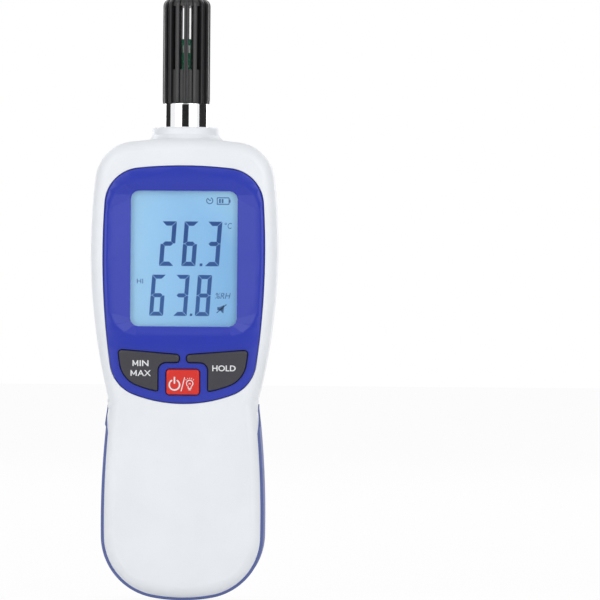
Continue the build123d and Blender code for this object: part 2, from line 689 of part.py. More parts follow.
def flat_cornered(half, foot, top, corner_r):
    """A rectangle whose round corners are drawn as three flats each."""
    corners = [(-half, foot, 180), (half, foot, 270), (half, top, 0), (-half, top, 90)]
    points = []
    for x, z, start in corners:
        centre_x = x - math.copysign(corner_r, x)
        centre_z = z + corner_r if z == foot else z - corner_r
        for step in range(4):
            angle = math.radians(start + 30 * step)
            points.append((centre_x + corner_r * math.cos(angle), centre_z + corner_r * math.sin(angle)))
    return outline_face(points)


def side_key_outline():
    """The left key's opening: follows the bezel's corner, with a notch beside the power key."""
    field = bezel_outline(-KEY_RIM)
    far = 2 * BEZEL_HALF
    limit = outline_face([
        (-KEY_BRIDGE / 2, ARM_TOP_Z),
        (-far, ARM_TOP_Z + far * ARM_RISE),
        (-far, KEY_FOOT_Z),
        (-KEY_BRIDGE / 2, KEY_FOOT_Z),
    ])
    notch_edge = -POWER_WIDTH / 2 - KEY_WEB
    notch = outline_face([
        (notch_edge, KEY_FOOT_Z - 5),
        (5, KEY_FOOT_Z - 5),
        (5, ARM_FOOT_Z),
        (notch_edge, ARM_FOOT_Z),
    ])
    shape = (field & limit) - notch
    inner = [v for v in shape.vertices() if abs(v.X - notch_edge) < 0.01 and abs(v.Y - ARM_FOOT_Z) < 0.01]
    shape = fillet(inner, KEY_NOTCH_R)
    foot = [v for v in shape.vertices() if abs(v.X - notch_edge) < 0.01 and v.Y < KEY_FOOT_Z + 0.01]
    shape = fillet(foot, KEY_FOOT_R)
    far_corner = max(shape.vertices(), key=lambda v: v.Y)
    bridge_corners = [v for v in shape.vertices() if abs(v.X + KEY_BRIDGE / 2) < 0.01]
    return fillet(bridge_corners + [far_corner], KEY_CORNER_R)


def power_key_outline():
    middle = Pos(0, (POWER_FOOT_Z + POWER_TOP_Z) / 2)
    return middle * RectangleRounded(POWER_WIDTH, POWER_HEIGHT, KEY_CORNER_R)


def front_bezel():
    """Blue bezel: crowned plate with the sloped window and three key openings."""
    body = prism(bezel_outline(0), FRONT_Y - 4, -6) & behind_front(-BEZEL_PROUD)
    body = chamfer(foremost(body).edges(), BEZEL_EDGE)
    body -= behind_front(BEZEL_SINK)
    lens_frame = window_rectangle(LENS_LAP + LENS_GAP + LENS_FRAME_WALL, LENS_CORNER_R + LENS_FRAME_WALL)
    body += prism(lens_frame, LIP_FRONT_Y, LENS_BACK_Y + LENS_FRAME_END)
    body -= window_scoop()
    body -= prism(window_rectangle(0, WINDOW_CORNER_R), LIP_FRONT_Y - 0.01, LENS_BACK_Y + 2)
    body -= prism(window_rectangle(LENS_LAP + LENS_GAP, LENS_CORNER_R), LENS_FRONT_Y, LENS_BACK_Y + 2)
    side_key = prism(side_key_outline(), FRONT_Y - 4, -6)
    body -= side_key + mirror(side_key, Plane.YZ)
    body -= prism(power_key_outline(), FRONT_Y - 4, -6)
    return body


def display_lens():
    return prism(window_rectangle(LENS_LAP, LENS_CORNER_R), LENS_FRONT_Y, LENS_BACK_Y)


def lens_gasket():
    """Foam ring that keeps dust out between lens and glass."""
    inset = LENS_LAP - GASKET_WIDTH
    ring = window_rectangle(LENS_LAP, LENS_CORNER_R) - window_rectangle(inset, LENS_CORNER_R)
    return prism(ring, LENS_BACK_Y, GLASS_FRONT_Y)


def glass_block(foot_extra, front_face_y, back_face_y):
    foot = WINDOW_FOOT_Z - GLASS_LAP - foot_extra
    return block(-GLASS_HALF, GLASS_HALF, front_face_y, back_face_y, foot, WINDOW_TOP_Z + GLASS_LAP)


def lcd_front_glass():
    return glass_block(CONTACT_LEDGE, GLASS_FRONT_Y, GLASS_MID_Y)


def lcd_rear_glass():
    return glass_block(0, GLASS_MID_Y, BACKLIGHT_FRONT_Y)


def backlight_panel():
    """Light guide with the lamp strip's tongue at its top edge."""
    guide = glass_block(0, BACKLIGHT_FRONT_Y, BACKLIGHT_BACK_Y)
    edges = guide.edges().filter_by(Axis.Y)
    return fillet(edges, 0.6)


def lcd_frame():
    """Moulded frame that stacks glass and backlight on the board."""
    foot = WINDOW_FOOT_Z - GLASS_LAP - CONTACT_LEDGE - FRAME_GAP
    top = WINDOW_TOP_Z + GLASS_LAP + FRAME_GAP
    half = GLASS_HALF + FRAME_GAP
    front_face = GLASS_FRONT_Y + 0.2
    outer = block(-FRAME_HALF, FRAME_HALF, front_face, BOARD_FRONT_Y, foot - FRAME_WALL, top + FRAME_WALL)
    outer -= block(-half, half, front_face - 1, BOARD_FRONT_Y + 1, foot, top)
    bar_top = WINDOW_FOOT_Z - GLASS_LAP - FRAME_GAP
    outer += block(-half - 0.1, half + 0.1, GLASS_MID_Y + 0.05, BOARD_FRONT_Y, bar_top - FRAME_BAR, bar_top)
    return outer


def zebra_strip():
    """Striped rubber connector between the glass's contact ledge and the board."""
    foot = WINDOW_FOOT_Z - GLASS_LAP - CONTACT_LEDGE + FRAME_GAP
    return block(-GLASS_HALF + 0.5, GLASS_HALF - 0.5, GLASS_MID_Y, BOARD_FRONT_Y, foot, foot + ZEBRA_THICKNESS)


# Board and what it carries

def main_board():
    """Circuit board, narrowed above and below to pass the case screws' posts."""
    tail_z = BEZEL_FOOT_Z - BOARD_TAIL
    brow_z = BEZEL_TOP_Z + BOARD_BROW
    wide_top = CASE_TOP_Z - CASE_SCREW_TOP_DROP - POST_R - 1.2
    wide_foot = BEZEL_FOOT_Z + 1
    half_plan = [
        (BOARD_TAIL_HALF, tail_z),
        (BOARD_TAIL_HALF, wide_foot),
        (BOARD_HALF, wide_foot + 3),
        (BOARD_HALF, wide_top),
        (BOARD_BROW_HALF, wide_top + 1.5),
        (BOARD_BROW_HALF, brow_z),
    ]
    plan = outline_face(half_plan + [(-x, z) for x, z in reversed(half_plan)])
    ends = [v for v in plan.vertices() if v.Y < tail_z + 0.01 or v.Y > brow_z - 0.01]
    board = prism(fillet(ends, BOARD_CORNER_R), BOARD_FRONT_Y, BOARD_BACK_Y)
    for place in BOARD_SCREWS:
        board -= post(place, BOARD_SCREW_R + SHANK_GAP, BOARD_FRONT_Y - 1, BOARD_BACK_Y + 1)
    return board


def on_board(x, z, width, height, depth):
    """A block soldered to the board's rear face."""
    return block(x - width / 2, x + width / 2, BOARD_BACK_Y, BOARD_BACK_Y + depth, z - height / 2, z + height / 2)


def main_chip():
    chip = on_board(-5, WINDOW_MID_Z - 6, CHIP_WIDTH, CHIP_WIDTH, CHIP_HEIGHT)
    return chamfer(chip.edges().filter_by(Axis.Y), 0.6)


def crystal_can():
    can = on_board(-7, WINDOW_MID_Z + 7, CRYSTAL_LENGTH, CRYSTAL_WIDTH, CRYSTAL_HEIGHT)
    return fillet(can.edges().filter_by(Axis.Y), CRYSTAL_WIDTH / 2 - 0.2)


def board_parts():
    """Driver chip, regulator and capacitors on the board's rear face."""
    parts = [
        on_board(10, WINDOW_MID_Z + 12, 7.0, 5.0, 1.5),
        on_board(-14.5, WINDOW_MID_Z - 20, 3.0, 6.5, 1.7),
    ]
    for step in range(4):
        parts.append(on_board(3 + 3.2 * step, WINDOW_MID_Z + 20, 1.6, 3.0, 1.0))
    for step in range(3):
        parts.append(on_board(-8 + 3.2 * step, WINDOW_MID_Z - 20, 1.6, 3.0, 1.0))
    return Compound(parts)


def buzzer():
    place = (10, WINDOW_MID_Z - 8)
    can = post(place, BUZZER_R, BOARD_BACK_Y, BOARD_BACK_Y + BUZZER_HEIGHT)
    sound_hole = post(place, 1.0, BOARD_BACK_Y + BUZZER_HEIGHT - 1.2, BOARD_BACK_Y + BUZZER_HEIGHT + 1)
    return can - sound_hole


def ribbon_socket():
    top = SENSOR_FOOT_Z - 5
    shell = on_board(0, top - SOCKET_HEIGHT / 2, SOCKET_WIDTH, SOCKET_HEIGHT, SOCKET_DEPTH)
    mid_y = BOARD_BACK_Y + SOCKET_DEPTH / 2
    slot_half = RIBBON_WIDTH / 2 + 0.1
    slot_y = RIBBON_THICKNESS / 2 + 0.1
    return shell - block(-slot_half, slot_half, mid_y - slot_y, mid_y + slot_y, top - 2, top + 1)


def sensor_ribbon():
    """Flat cable from the sensor board down into its socket."""
    start_y = -SENSOR_BOARD_THICKNESS / 2 - RIBBON_THICKNESS / 2 - 0.02
    end_y = BOARD_BACK_Y + SOCKET_DEPTH / 2
    socket_top = SENSOR_FOOT_Z - 5
    path = FilletPolyline(
        (0, start_y, SENSOR_FOOT_Z + 3),
        (0, start_y, SENSOR_FOOT_Z - 0.8),
        (0, end_y, socket_top + 1.4),
        (0, end_y, socket_top - 1.9),
        radius=RIBBON_BEND_R,
    )
    section = Plane((0, start_y, SENSOR_FOOT_Z + 3), x_dir=(1, 0, 0), z_dir=(0, 0, -1))
    return sweep(section * Rectangle(RIBBON_WIDTH, RIBBON_THICKNESS), path)


def screw(place, seat_y, head_r, head_height, shank_r, length):
    """A pan-headed screw that is driven from the back, with a hexagon socket."""
    head = post(place, head_r, seat_y, seat_y + head_height)
    hexagon = Pos(*place) * RegularPolygon(HEX_SOCKET / 2, 6, major_radius=False)
    depth = min(HEX_DEPTH, head_height - 0.4)
    head -= prism(hexagon, seat_y + head_height - depth, seat_y + head_height + 1)
    return head + post(place, shank_r, seat_y - length, seat_y)


def board_screws():
    screws = []
    for place in BOARD_SCREWS:
        screws.append(screw(place, BOARD_BACK_Y, BOARD_SCREW_HEAD_R, BOARD_SCREW_HEAD_HEIGHT,
                            BOARD_SCREW_R, BOARD_SCREW_LENGTH))
    return Compound(screws)


def case_screws():
    screws = []
    for place, seat_depth, _ in case_screw_places():
        screws.append(screw(place, BACK_Y - seat_depth, CASE_SCREW_HEAD_R, CASE_SCREW_HEAD_HEIGHT,
                            CASE_SCREW_R, CASE_SCREW_LENGTH))
    return Compound(screws)


# Keys

def power_stem_place():
    return (0, (POWER_FOOT_Z + POWER_TOP_Z) / 2)


def side_stem_place(side):
    return (side * SIDE_STEM_X, ARM_FOOT_Z - SIDE_STEM_DROP)


def pill_end_y():
    return BOARD_FRONT_Y - KEY_TRAVEL - KEY_REST_GAP


def key_cap(opening, stem_place):
    """A key: crowned cap, flange behind the bezel and stem down to the carbon pill."""
    outline = parallel(opening, -KEY_GAP)
    cap = prism(outline, FRONT_Y - 4, BACKLIGHT_FRONT_Y) & behind_front(-BEZEL_PROUD - KEY_PROUD)
    cap = chamfer(foremost(cap).edges(), KEY_EDGE)
    flange_y = flange_front_y()
    cap &= block(-HEAD_HALF, HEAD_HALF, FRONT_Y - 5, flange_y + KEY_FLANGE_THICKNESS, 0, GUARD_TOP_Z)
    flange = parallel(opening, KEY_FLANGE_LAP)
    cap += prism(flange, flange_y, flange_y + KEY_FLANGE_THICKNESS)
    cap += post(stem_place, STEM_R, flange_y, pill_end_y() - PILL_THICKNESS)
    return cap


def flange_front_y():
    """The flange's front face clears the bezel's underside at the keys' outer edge."""
    return front_y((BEZEL_FOOT_HALF, KEY_FOOT_Z), BEZEL_SINK + KEY_FLANGE_GAP)


def min_max_key():
    return key_cap(side_key_outline(), side_stem_place(-1))


def hold_key():
    return mirror(min_max_key(), Plane.YZ)


def power_key():
    return key_cap(power_key_outline(), power_stem_place())


def carbon_pill(place):
    return post(place, PILL_R, pill_end_y() - PILL_THICKNESS, pill_end_y())


def keypad_mat():
    """Silicone mat on the board, with a hole for each stem."""
    foot = BEZEL_FOOT_Z + 2
    top = WINDOW_FOOT_Z - GLASS_LAP - CONTACT_LEDGE - FRAME_GAP - FRAME_WALL - MAT_EDGE_GAP
    half = BOARD_HALF - 1
    mat = block(-half, half, BOARD_FRONT_Y - MAT_THICKNESS, BOARD_FRONT_Y, foot, top)
    mat = fillet(mat.edges().filter_by(Axis.Y), 3.0)
    for place in (side_stem_place(-1), side_stem_place(1), power_stem_place()):
        mat -= post(place, STEM_R + MAT_HOLE_GAP, FRONT_Y, BOARD_FRONT_Y + 1)
    return mat


# Batteries, contacts and leads

def cell_ends(column):
    """Lowest and highest z of a cell; the middle one stands the other way up."""
    plate = CONTACT_THICKNESS + CONTACT_END_GAP
    if column == 0:
        return TUB_FOOT_Z + plate, TUB_FOOT_Z + plate + CELL_LENGTH
    return TUB_TOP_Z - plate - CELL_LENGTH, TUB_TOP_Z - plate


def battery(column):
    low, high = cell_ends(column)
    body_length = CELL_LENGTH - CELL_NUB_LENGTH
    body_z = low + CELL_NUB_LENGTH if column == 0 else low
    can = Pos(0, 0, body_z) * extrude(Circle(CELL_R), body_length)
    nub_z = low if column == 0 else high - CELL_NUB_LENGTH
    nub = Pos(0, 0, nub_z) * extrude(Circle(CELL_NUB_R), CELL_NUB_LENGTH)
    return Pos(column * CELL_PITCH, CELL_Y, 0) * (can + nub)


def contact_plate(columns, low_z, tab_z=None):
    """A tinned plate on an end wall; a pair of cells shares one plate."""
    half = CONTACT_WIDTH / 2
    plate = None
    for column in columns:
        x = column * CELL_PITCH
        square = block(x - half, x + half, CELL_Y - CONTACT_DEPTH, CELL_Y + CONTACT_RISE,
                       low_z, low_z + CONTACT_THICKNESS)
        plate = square if plate is None else plate + square
    if len(columns) == 2:
        x_low, x_high = (column * CELL_PITCH for column in columns)
        plate += block(x_low, x_high, CELL_Y + 1, CELL_Y + CONTACT_RISE, low_z, low_z + CONTACT_THICKNESS)
    if tab_z is not None:
        x = columns[0] * CELL_PITCH
        tab_y = CELL_Y - CONTACT_DEPTH + 0.6
        z_low, z_high = sorted((tab_z, low_z + CONTACT_THICKNESS / 2))
        plate += block(x - CONTACT_TAB_WIDTH / 2, x + CONTACT_TAB_WIDTH / 2, tab_y,
                       tab_y + CONTACT_THICKNESS, z_low, z_high)
    return plate


def tab_ends():
    """Where the two terminal tabs come out of the compartment's end walls."""
    return TUB_TOP_Z + TUB_WALL + CONTACT_TAB_OUT, TUB_FOOT_Z - TUB_WALL - CONTACT_TAB_OUT


def battery_contacts():
    top_tab, foot_tab = tab_ends()
    top_z = TUB_TOP_Z - CONTACT_THICKNESS
    return Compound([
        contact_plate([-1], top_z, top_tab),
        contact_plate([0, 1], top_z),
        contact_plate([-1, 0], TUB_FOOT_Z),
        contact_plate([1], TUB_FOOT_Z, foot_tab),
    ])


def contact_slots():
    """Slots in the compartment's end walls for the two terminal tabs."""
    tab_y = CELL_Y - CONTACT_DEPTH + 0.6
    half = CONTACT_TAB_WIDTH / 2 + 0.1
    top_slot = block(-CELL_PITCH - half, -CELL_PITCH + half, tab_y - 0.1, tab_y + CONTACT_THICKNESS + 0.1,
                     TUB_TOP_Z - 0.1, TUB_TOP_Z + TUB_WALL + 1)
    foot_slot = block(CELL_PITCH - half, CELL_PITCH + half, tab_y - 0.1, tab_y + CONTACT_THICKNESS + 0.1,
                      TUB_FOOT_Z - TUB_WALL - 1, TUB_FOOT_Z + 0.1)
    return top_slot + foot_slot


def battery_springs():
    """Coil springs that press on the cells' flat ends, each turn drawn as straight steps."""
    springs = []
    rise = SPRING_LENGTH - SPRING_WIRE - 2 * CONTACT_END_GAP
    steps = SPRING_TURNS * SPRING_STEPS
    for column in (-1, 0, 1):
        low, high = cell_ends(column)
        base_z = high if column == 0 else TUB_FOOT_Z + CONTACT_THICKNESS
        start_z = base_z + SPRING_WIRE / 2 + CONTACT_END_GAP
        points = []
        for step in range(steps + 1):
            angle = 2 * math.pi * step / SPRING_STEPS
            x = column * CELL_PITCH + SPRING_R * math.cos(angle)
            points.append((x, CELL_Y + SPRING_R * math.sin(angle), start_z + rise * step / steps))
        path = Polyline(*points)
        section = Plane(path @ 0, z_dir=path % 0) * Rectangle(SPRING_WIRE, SPRING_WIRE)
        springs.append(sweep(section, path, transition=Transition.RIGHT))
    return Compound(springs)


def lead(points):
    """An insulated wire along straight runs joined by arcs, drawn with six flats."""
    path = FilletPolyline(*points, radius=LEAD_BEND_R)
    start = path.position_at(0)
    section = Plane(start, z_dir=path.tangent_at(0)) * RegularPolygon(LEAD_R, 6)
    return sweep(section, path)


def battery_leads():
    top_tab, foot_tab = tab_ends()
    wire_y = CELL_Y - CONTACT_DEPTH + 0.6 - LEAD_R - 0.05
    solder_y = BOARD_BACK_Y + 0.05
    low_z = foot_tab - 3
    front_y_run = TUB_CLEAR - 3
    join_z = BEZEL_FOOT_Z - BOARD_TAIL + 5.5
    rise_z = top_tab + 3
    positive = lead([
        (-CELL_PITCH, wire_y, top_tab - 0.6),
        (-CELL_PITCH, wire_y, rise_z),
        (-CELL_PITCH, solder_y, rise_z),
    ])
    negative = lead([
        (CELL_PITCH, wire_y, foot_tab + 0.6),
        (CELL_PITCH, wire_y, low_z),
        (CELL_PITCH, front_y_run, low_z),
        (CELL_PITCH, front_y_run, join_z),
        (CELL_PITCH, solder_y, join_z),
    ])
    return Compound([positive, negative])


# Battery door and latch

def battery_door():
    """Flat door with hinge tabs below, and above it the thumb recess that runs into the latch spring."""
    door = prism(door_outline(), DOOR_INNER_Y, BACK_Y)
    door += bar(thumb_profile(), SCOOP_HALF_TOP)
    cheek = outline_face([
        (-SCOOP_HALF_FOOT, DOOR_TOP_Z - 1),
        (SCOOP_HALF_FOOT, DOOR_TOP_Z - 1),
        (SCOOP_HALF_TOP, THUMB_TOP_Z + LATCH_LEG_RISE + 3),
        (-SCOOP_HALF_TOP, THUMB_TOP_Z + LATCH_LEG_RISE + 3),
    ])
    door &= prism(cheek, 0, BACK_Y) + block(-DOOR_HALF, DOOR_HALF, 0, BACK_Y, 0, DOOR_TOP_Z)
    for x in TAB_PLACES:
        tab_back_y = DOOR_INNER_Y - TAB_SINK
        tab_front_y = tab_back_y - TAB_THICKNESS
        x_low = x - TAB_WIDTH / 2
        x_high = x + TAB_WIDTH / 2
        door += block(x_low, x_high, tab_front_y, DOOR_INNER_Y, DOOR_FOOT, DOOR_FOOT + TAB_ROOT)
        door += block(x_low, x_high, tab_front_y, WALL_INNER_Y - TAB_SINK, DOOR_FOOT - TAB_REACH, DOOR_FOOT + TAB_ROOT)
    for share in (0.3, 0.7):
        z = TUB_FOOT_Z + (TUB_TOP_Z - TUB_FOOT_Z) * share
        door += block(-CELL_PITCH - 3, CELL_PITCH + 3, DOOR_INNER_Y - DOOR_RIB_HEIGHT, DOOR_INNER_Y,
                      z - DOOR_RIB_WIDTH / 2, z + DOOR_RIB_WIDTH / 2)
    return door


def thumb_profile():
    """Side view of the recess floor, the spring's inner leg and its heel."""
    floor_y = BACK_Y - THUMB_DEPTH
    heel_y = BACK_Y - SPRING_DEPTH
    leg_z = THUMB_TOP_Z + 0.1
    heel_top = leg_z + LATCH_LEG_RISE + SPRING_LEG
    return outline_face([
        (BACK_Y, DOOR_TOP_Z - 0.1),
        (floor_y, leg_z - 0.5),
        (heel_y + SPRING_LEG - 0.1, leg_z),
        (heel_y + SPRING_LEG - 0.1, heel_top),
        (heel_y, heel_top),
        (heel_y, leg_z - SPRING_LEG),
        (floor_y - SPRING_LEG, leg_z - SPRING_LEG - 0.5),
        (BACK_Y - DOOR_THICKNESS, DOOR_TOP_Z - 0.1),
    ])


def door_latch():
    """Latch pad on the spring's outer leg, with a nib that hooks under the case's edge."""
    leg_low = THUMB_TOP_Z + 0.1 + LATCH_LEG_RISE
    leg_high = leg_low + SPRING_LEG
    pad_y = BACK_Y - PAD_THICKNESS
    heel_y = BACK_Y - SPRING_DEPTH + SPRING_LEG - 0.1 + LATCH_HEEL_GAP
    leg = outline_face([(pad_y + 0.2, leg_low), (pad_y + 0.2, leg_high), (heel_y, leg_high), (heel_y, leg_low)])
    nib_y = WALL_INNER_Y - NIB_GAP
    nib = outline_face([
        (pad_y + 0.2, leg_low),
        (pad_y + 0.2, PAD_TOP_Z),
        (nib_y, PAD_TOP_Z),
        (nib_y, PAD_TOP_Z + NIB_REACH),
        (nib_y - NIB_THICKNESS * 0.6, PAD_TOP_Z + NIB_REACH),
        (nib_y - NIB_THICKNESS, PAD_TOP_Z),
        (nib_y - NIB_THICKNESS, leg_low),
    ])
    pad = block(-PAD_HALF, PAD_HALF, pad_y, BACK_Y, THUMB_TOP_Z, PAD_TOP_Z)
    pad = fillet(pad.edges().filter_by(Axis.Y).group_by(Axis.Z)[-1], 0.8)
    return pad + bar(leg, NIB_HALF + 1) + bar(nib, NIB_HALF)


# Tripod socket and label

def tripod_insert():
    """Threaded metal insert with a chamfered mouth, a groove round its waist and a blind end in the boss."""
    groove_low = INSERT_LENGTH / 2 - INSERT_GROOVE_WIDTH / 2
    body = post((0, TRIPOD_Z), INSERT_R, BACK_Y - INSERT_LENGTH, BACK_Y)
    bore = post((0, TRIPOD_Z), INSERT_BORE_R, BACK_Y - INSERT_LENGTH - 1, BACK_Y + 1)
    ring = Pos(0, TRIPOD_Z) * (Circle(INSERT_R + 1) - Circle(INSERT_R - INSERT_GROOVE_DEPTH))
    body -= prism(ring, BACK_Y - groove_low - INSERT_GROOVE_WIDTH, BACK_Y - groove_low)
    body -= bore
    mouth = [
        edge for edge in body.edges().filter_by(GeomType.CIRCLE)
        if abs(edge.radius - INSERT_BORE_R) < 0.01 and edge.center().Y > BACK_Y - 1
    ]
    return chamfer(mouth, INSERT_CHAMFER)


def spec_label():
    plate = Pos(0, LABEL_MID_Z) * RectangleRounded(LABEL_WIDTH, LABEL_HEIGHT, LABEL_CORNER_R)
    return prism(plate, BACK_Y - LABEL_RECESS, BACK_Y - LABEL_RECESS + LABEL_THICKNESS)


# Probe

def probe_collar():
    """Chromed tube that carries the guard, held in the neck by its flange."""
    flange_z = NECK_TOP_Z - FLANGE_BELOW_NECK - COLLAR_FLANGE_HEIGHT
    foot_z = flange_z - COLLAR_TAIL
    tube = Pos(0, 0, foot_z) * extrude(Circle(COLLAR_R) - Circle(COLLAR_R - COLLAR_WALL), COLLAR_TOP_Z - foot_z)
    flange = Circle(COLLAR_FLANGE_R) - Circle(COLLAR_R - COLLAR_WALL)
    return tube + Pos(0, 0, flange_z) * extrude(flange, COLLAR_FLANGE_HEIGHT)


def sensor_guard():
    """Fluted cap: closed flutes below, open slots above, a domed top and a spigot inside the collar."""
    spigot_r = COLLAR_R - COLLAR_WALL - GUARD_FIT
    dome_step = GUARD_DOME_R * (1 - math.sqrt(0.5))
    outer = revolve(Plane.XZ * outline_face([
        (0, COLLAR_TOP_Z - GUARD_SPIGOT),
        (spigot_r, COLLAR_TOP_Z - GUARD_SPIGOT),
        (spigot_r, COLLAR_TOP_Z),
        (GUARD_R, COLLAR_TOP_Z),
        (GUARD_R, GUARD_TOP_Z - GUARD_DOME_R),
        (GUARD_R - dome_step, GUARD_TOP_Z - dome_step),
        (GUARD_R - GUARD_DOME_R, GUARD_TOP_Z),
        (0, GUARD_TOP_Z),
    ]), axis=Axis.Z)
    slot_z = COLLAR_TOP_Z + SLOT_FOOT
    slot_top = GUARD_TOP_Z - SLOT_BELOW_TOP
    bore_z = COLLAR_TOP_Z - GUARD_SPIGOT - 1
    guard = outer - Pos(0, 0, bore_z) * extrude(Circle(GUARD_BORE_R), slot_top - bore_z)
    half = FLUTE_WIDTH / 2
    slot = block(-half, half, 2, GUARD_R + 2, slot_z, slot_top)
    flute = block(-half, half, GUARD_R - FLUTE_DEPTH, GUARD_R + 2, COLLAR_TOP_Z - 1, slot_z + 1)
    brow = block(-half, half, GUARD_R - FLUTE_DEPTH, GUARD_R + 2, slot_top - 1, GUARD_TOP_Z + 1)
    pitch = 360 / FLUTE_COUNT
    cutters = [Rot(0, 0, pitch * (index + 0.5)) * (slot + flute + brow) for index in range(FLUTE_COUNT)]
    return guard - cutters


def sensor_holder():
    """Plug inside the collar that grips the sensor board."""
    top_z = COLLAR_TOP_Z - GUARD_SPIGOT - HOLDER_GAP
    disc = Pos(0, 0, top_z - HOLDER_HEIGHT) * extrude(Circle(COLLAR_R - COLLAR_WALL - GUARD_FIT), HOLDER_HEIGHT)
    half = SENSOR_BOARD_WIDTH / 2 + HOLDER_GAP / 2
    half_depth = SENSOR_BOARD_THICKNESS / 2 + HOLDER_GAP / 2
    return disc - block(-half, half, -half_depth, half_depth, top_z - HOLDER_HEIGHT - 1, top_z + 1)


def sensor_board():
    half = SENSOR_BOARD_WIDTH / 2
    thickness = SENSOR_BOARD_THICKNESS / 2
    board = block(-half, half, -thickness, thickness, SENSOR_FOOT_Z, SENSOR_TOP_Z)
    return chamfer(board.edges().filter_by(Axis.Y).group_by(Axis.Z)[-1], 0.5)


def sensor_chip():
    half = SENSOR_CHIP_WIDTH / 2
    front = -SENSOR_BOARD_THICKNESS / 2
    top = SENSOR_TOP_Z - SENSOR_CHIP_DROP
    return block(-half, half, front - SENSOR_CHIP_THICKNESS, front, top - SENSOR_CHIP_WIDTH, top)


# The case form in the sizes that several pieces need

OUTER_FORM = case_body(0)
CAVITY = case_blank(-WALL)
FULL_FORM = case_with_neck()
BAND_CUT = case_body(BAND_PROUD) - case_body(-BAND_DEPTH) & band_zone(0)
BAND_SOLID = case_body(BAND_PROUD) - case_body(-BAND_DEPTH + BAND_FIT) & band_zone(BAND_FIT)

NODES = {
    "front_case": front_case,
    "rear_case": rear_case,
    "grip_band": grip_band,
    "front_bezel": front_bezel,
    "display_lens": display_lens,
    "lens_gasket": lens_gasket,
    "lcd_front_glass": lcd_front_glass,
    "lcd_rear_glass": lcd_rear_glass,
    "backlight_panel": backlight_panel,
    "lcd_frame": lcd_frame,
    "zebra_strip": zebra_strip,
    "main_board": main_board,
    "main_chip": main_chip,
    "crystal_can": crystal_can,
    "board_parts": board_parts,
    "buzzer": buzzer,
    "ribbon_socket": ribbon_socket,
    "sensor_ribbon": sensor_ribbon,
    "board_screws": board_screws,
    "case_screws": case_screws,
    "min_max_key": min_max_key,
    "hold_key": hold_key,
    "power_key": power_key,
    "min_max_contact": lambda: carbon_pill(side_stem_place(-1)),
    "hold_contact": lambda: carbon_pill(side_stem_place(1)),
    "power_contact": lambda: carbon_pill(power_stem_place()),
    "keypad_mat": keypad_mat,
    "battery_left": lambda: battery(-1),
    "battery_middle": lambda: battery(0),
    "battery_right": lambda: battery(1),
    "battery_contacts": battery_contacts,
    "battery_springs": battery_springs,
    "battery_leads": battery_leads,
    "battery_door": battery_door,
    "door_latch": door_latch,
    "tripod_insert": tripod_insert,
    "spec_label": spec_label,
    "probe_collar": probe_collar,
    "sensor_guard": sensor_guard,
    "sensor_holder": sensor_holder,
    "sensor_board": sensor_board,
    "sensor_chip": sensor_chip,
}

os.makedirs("parts", exist_ok=True)
to_socket_mouth = Pos(0, -BACK_Y, -TRIPOD_Z)
for name, make in NODES.items():
    export_step(to_socket_mouth * make(), f"parts/{name}.step")
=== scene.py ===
import math

import bmesh
import bpy
import numpy as np
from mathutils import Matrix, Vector


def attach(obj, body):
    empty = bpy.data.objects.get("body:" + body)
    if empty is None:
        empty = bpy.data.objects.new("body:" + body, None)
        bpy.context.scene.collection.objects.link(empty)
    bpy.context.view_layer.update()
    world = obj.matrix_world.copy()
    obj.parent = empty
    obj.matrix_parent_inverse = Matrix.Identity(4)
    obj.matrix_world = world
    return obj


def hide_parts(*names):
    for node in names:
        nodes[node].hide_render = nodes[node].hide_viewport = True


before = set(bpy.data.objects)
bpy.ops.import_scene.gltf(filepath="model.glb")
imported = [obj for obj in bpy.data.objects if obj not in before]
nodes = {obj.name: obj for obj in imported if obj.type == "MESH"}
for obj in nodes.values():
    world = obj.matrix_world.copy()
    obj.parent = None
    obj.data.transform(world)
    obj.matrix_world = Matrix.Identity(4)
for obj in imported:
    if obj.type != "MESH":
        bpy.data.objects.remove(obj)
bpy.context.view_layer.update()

# Case halves
# Two white ABS mouldings with a fine spark-eroded texture, screwed together from the back. The frame draws
# their rounded edges as flats, and the skins here are worked round from those flats.

MM = 0.001
BACK_Y = 15.0
TRIPOD_Z = 123.0
FRONT_Y = -17.3
CROWN_R = 1100.0
CASE_TOP = 157.2
TOP_R = 154.0
HEAD_HALF = 32.0
HEAD_Z = 119.5
WAIST_HALF = 25.2
WAIST_Z = 66.8
HIP_HALF = 27.7
HIP_Z = 27.0
FOOT_R = 56.0
FOOT_CORNER_R = 21.5
FILLET_R = 14.0
ARC_STEPS = 160
JOIN = 0.001 * MM


def packed(points):
    """From bench millimetres to the frame's metres: less the origin's place, times a thousandth."""
    return (np.asarray(points, float) - (0, BACK_Y, TRIPOD_Z)) * MM


def on_bench(points):
    """From the frame's metres back to bench millimetres: times a thousand, plus the origin's place."""
    return np.asarray(points, float) / MM + (0, BACK_Y, TRIPOD_Z)


def crown_y(z, proud=0.0):
    """Depth of the crowned front: the square of the height from its middle, over twice its radius."""
    return FRONT_Y - proud + (z - HEAD_Z) ** 2 / (2 * CROWN_R)


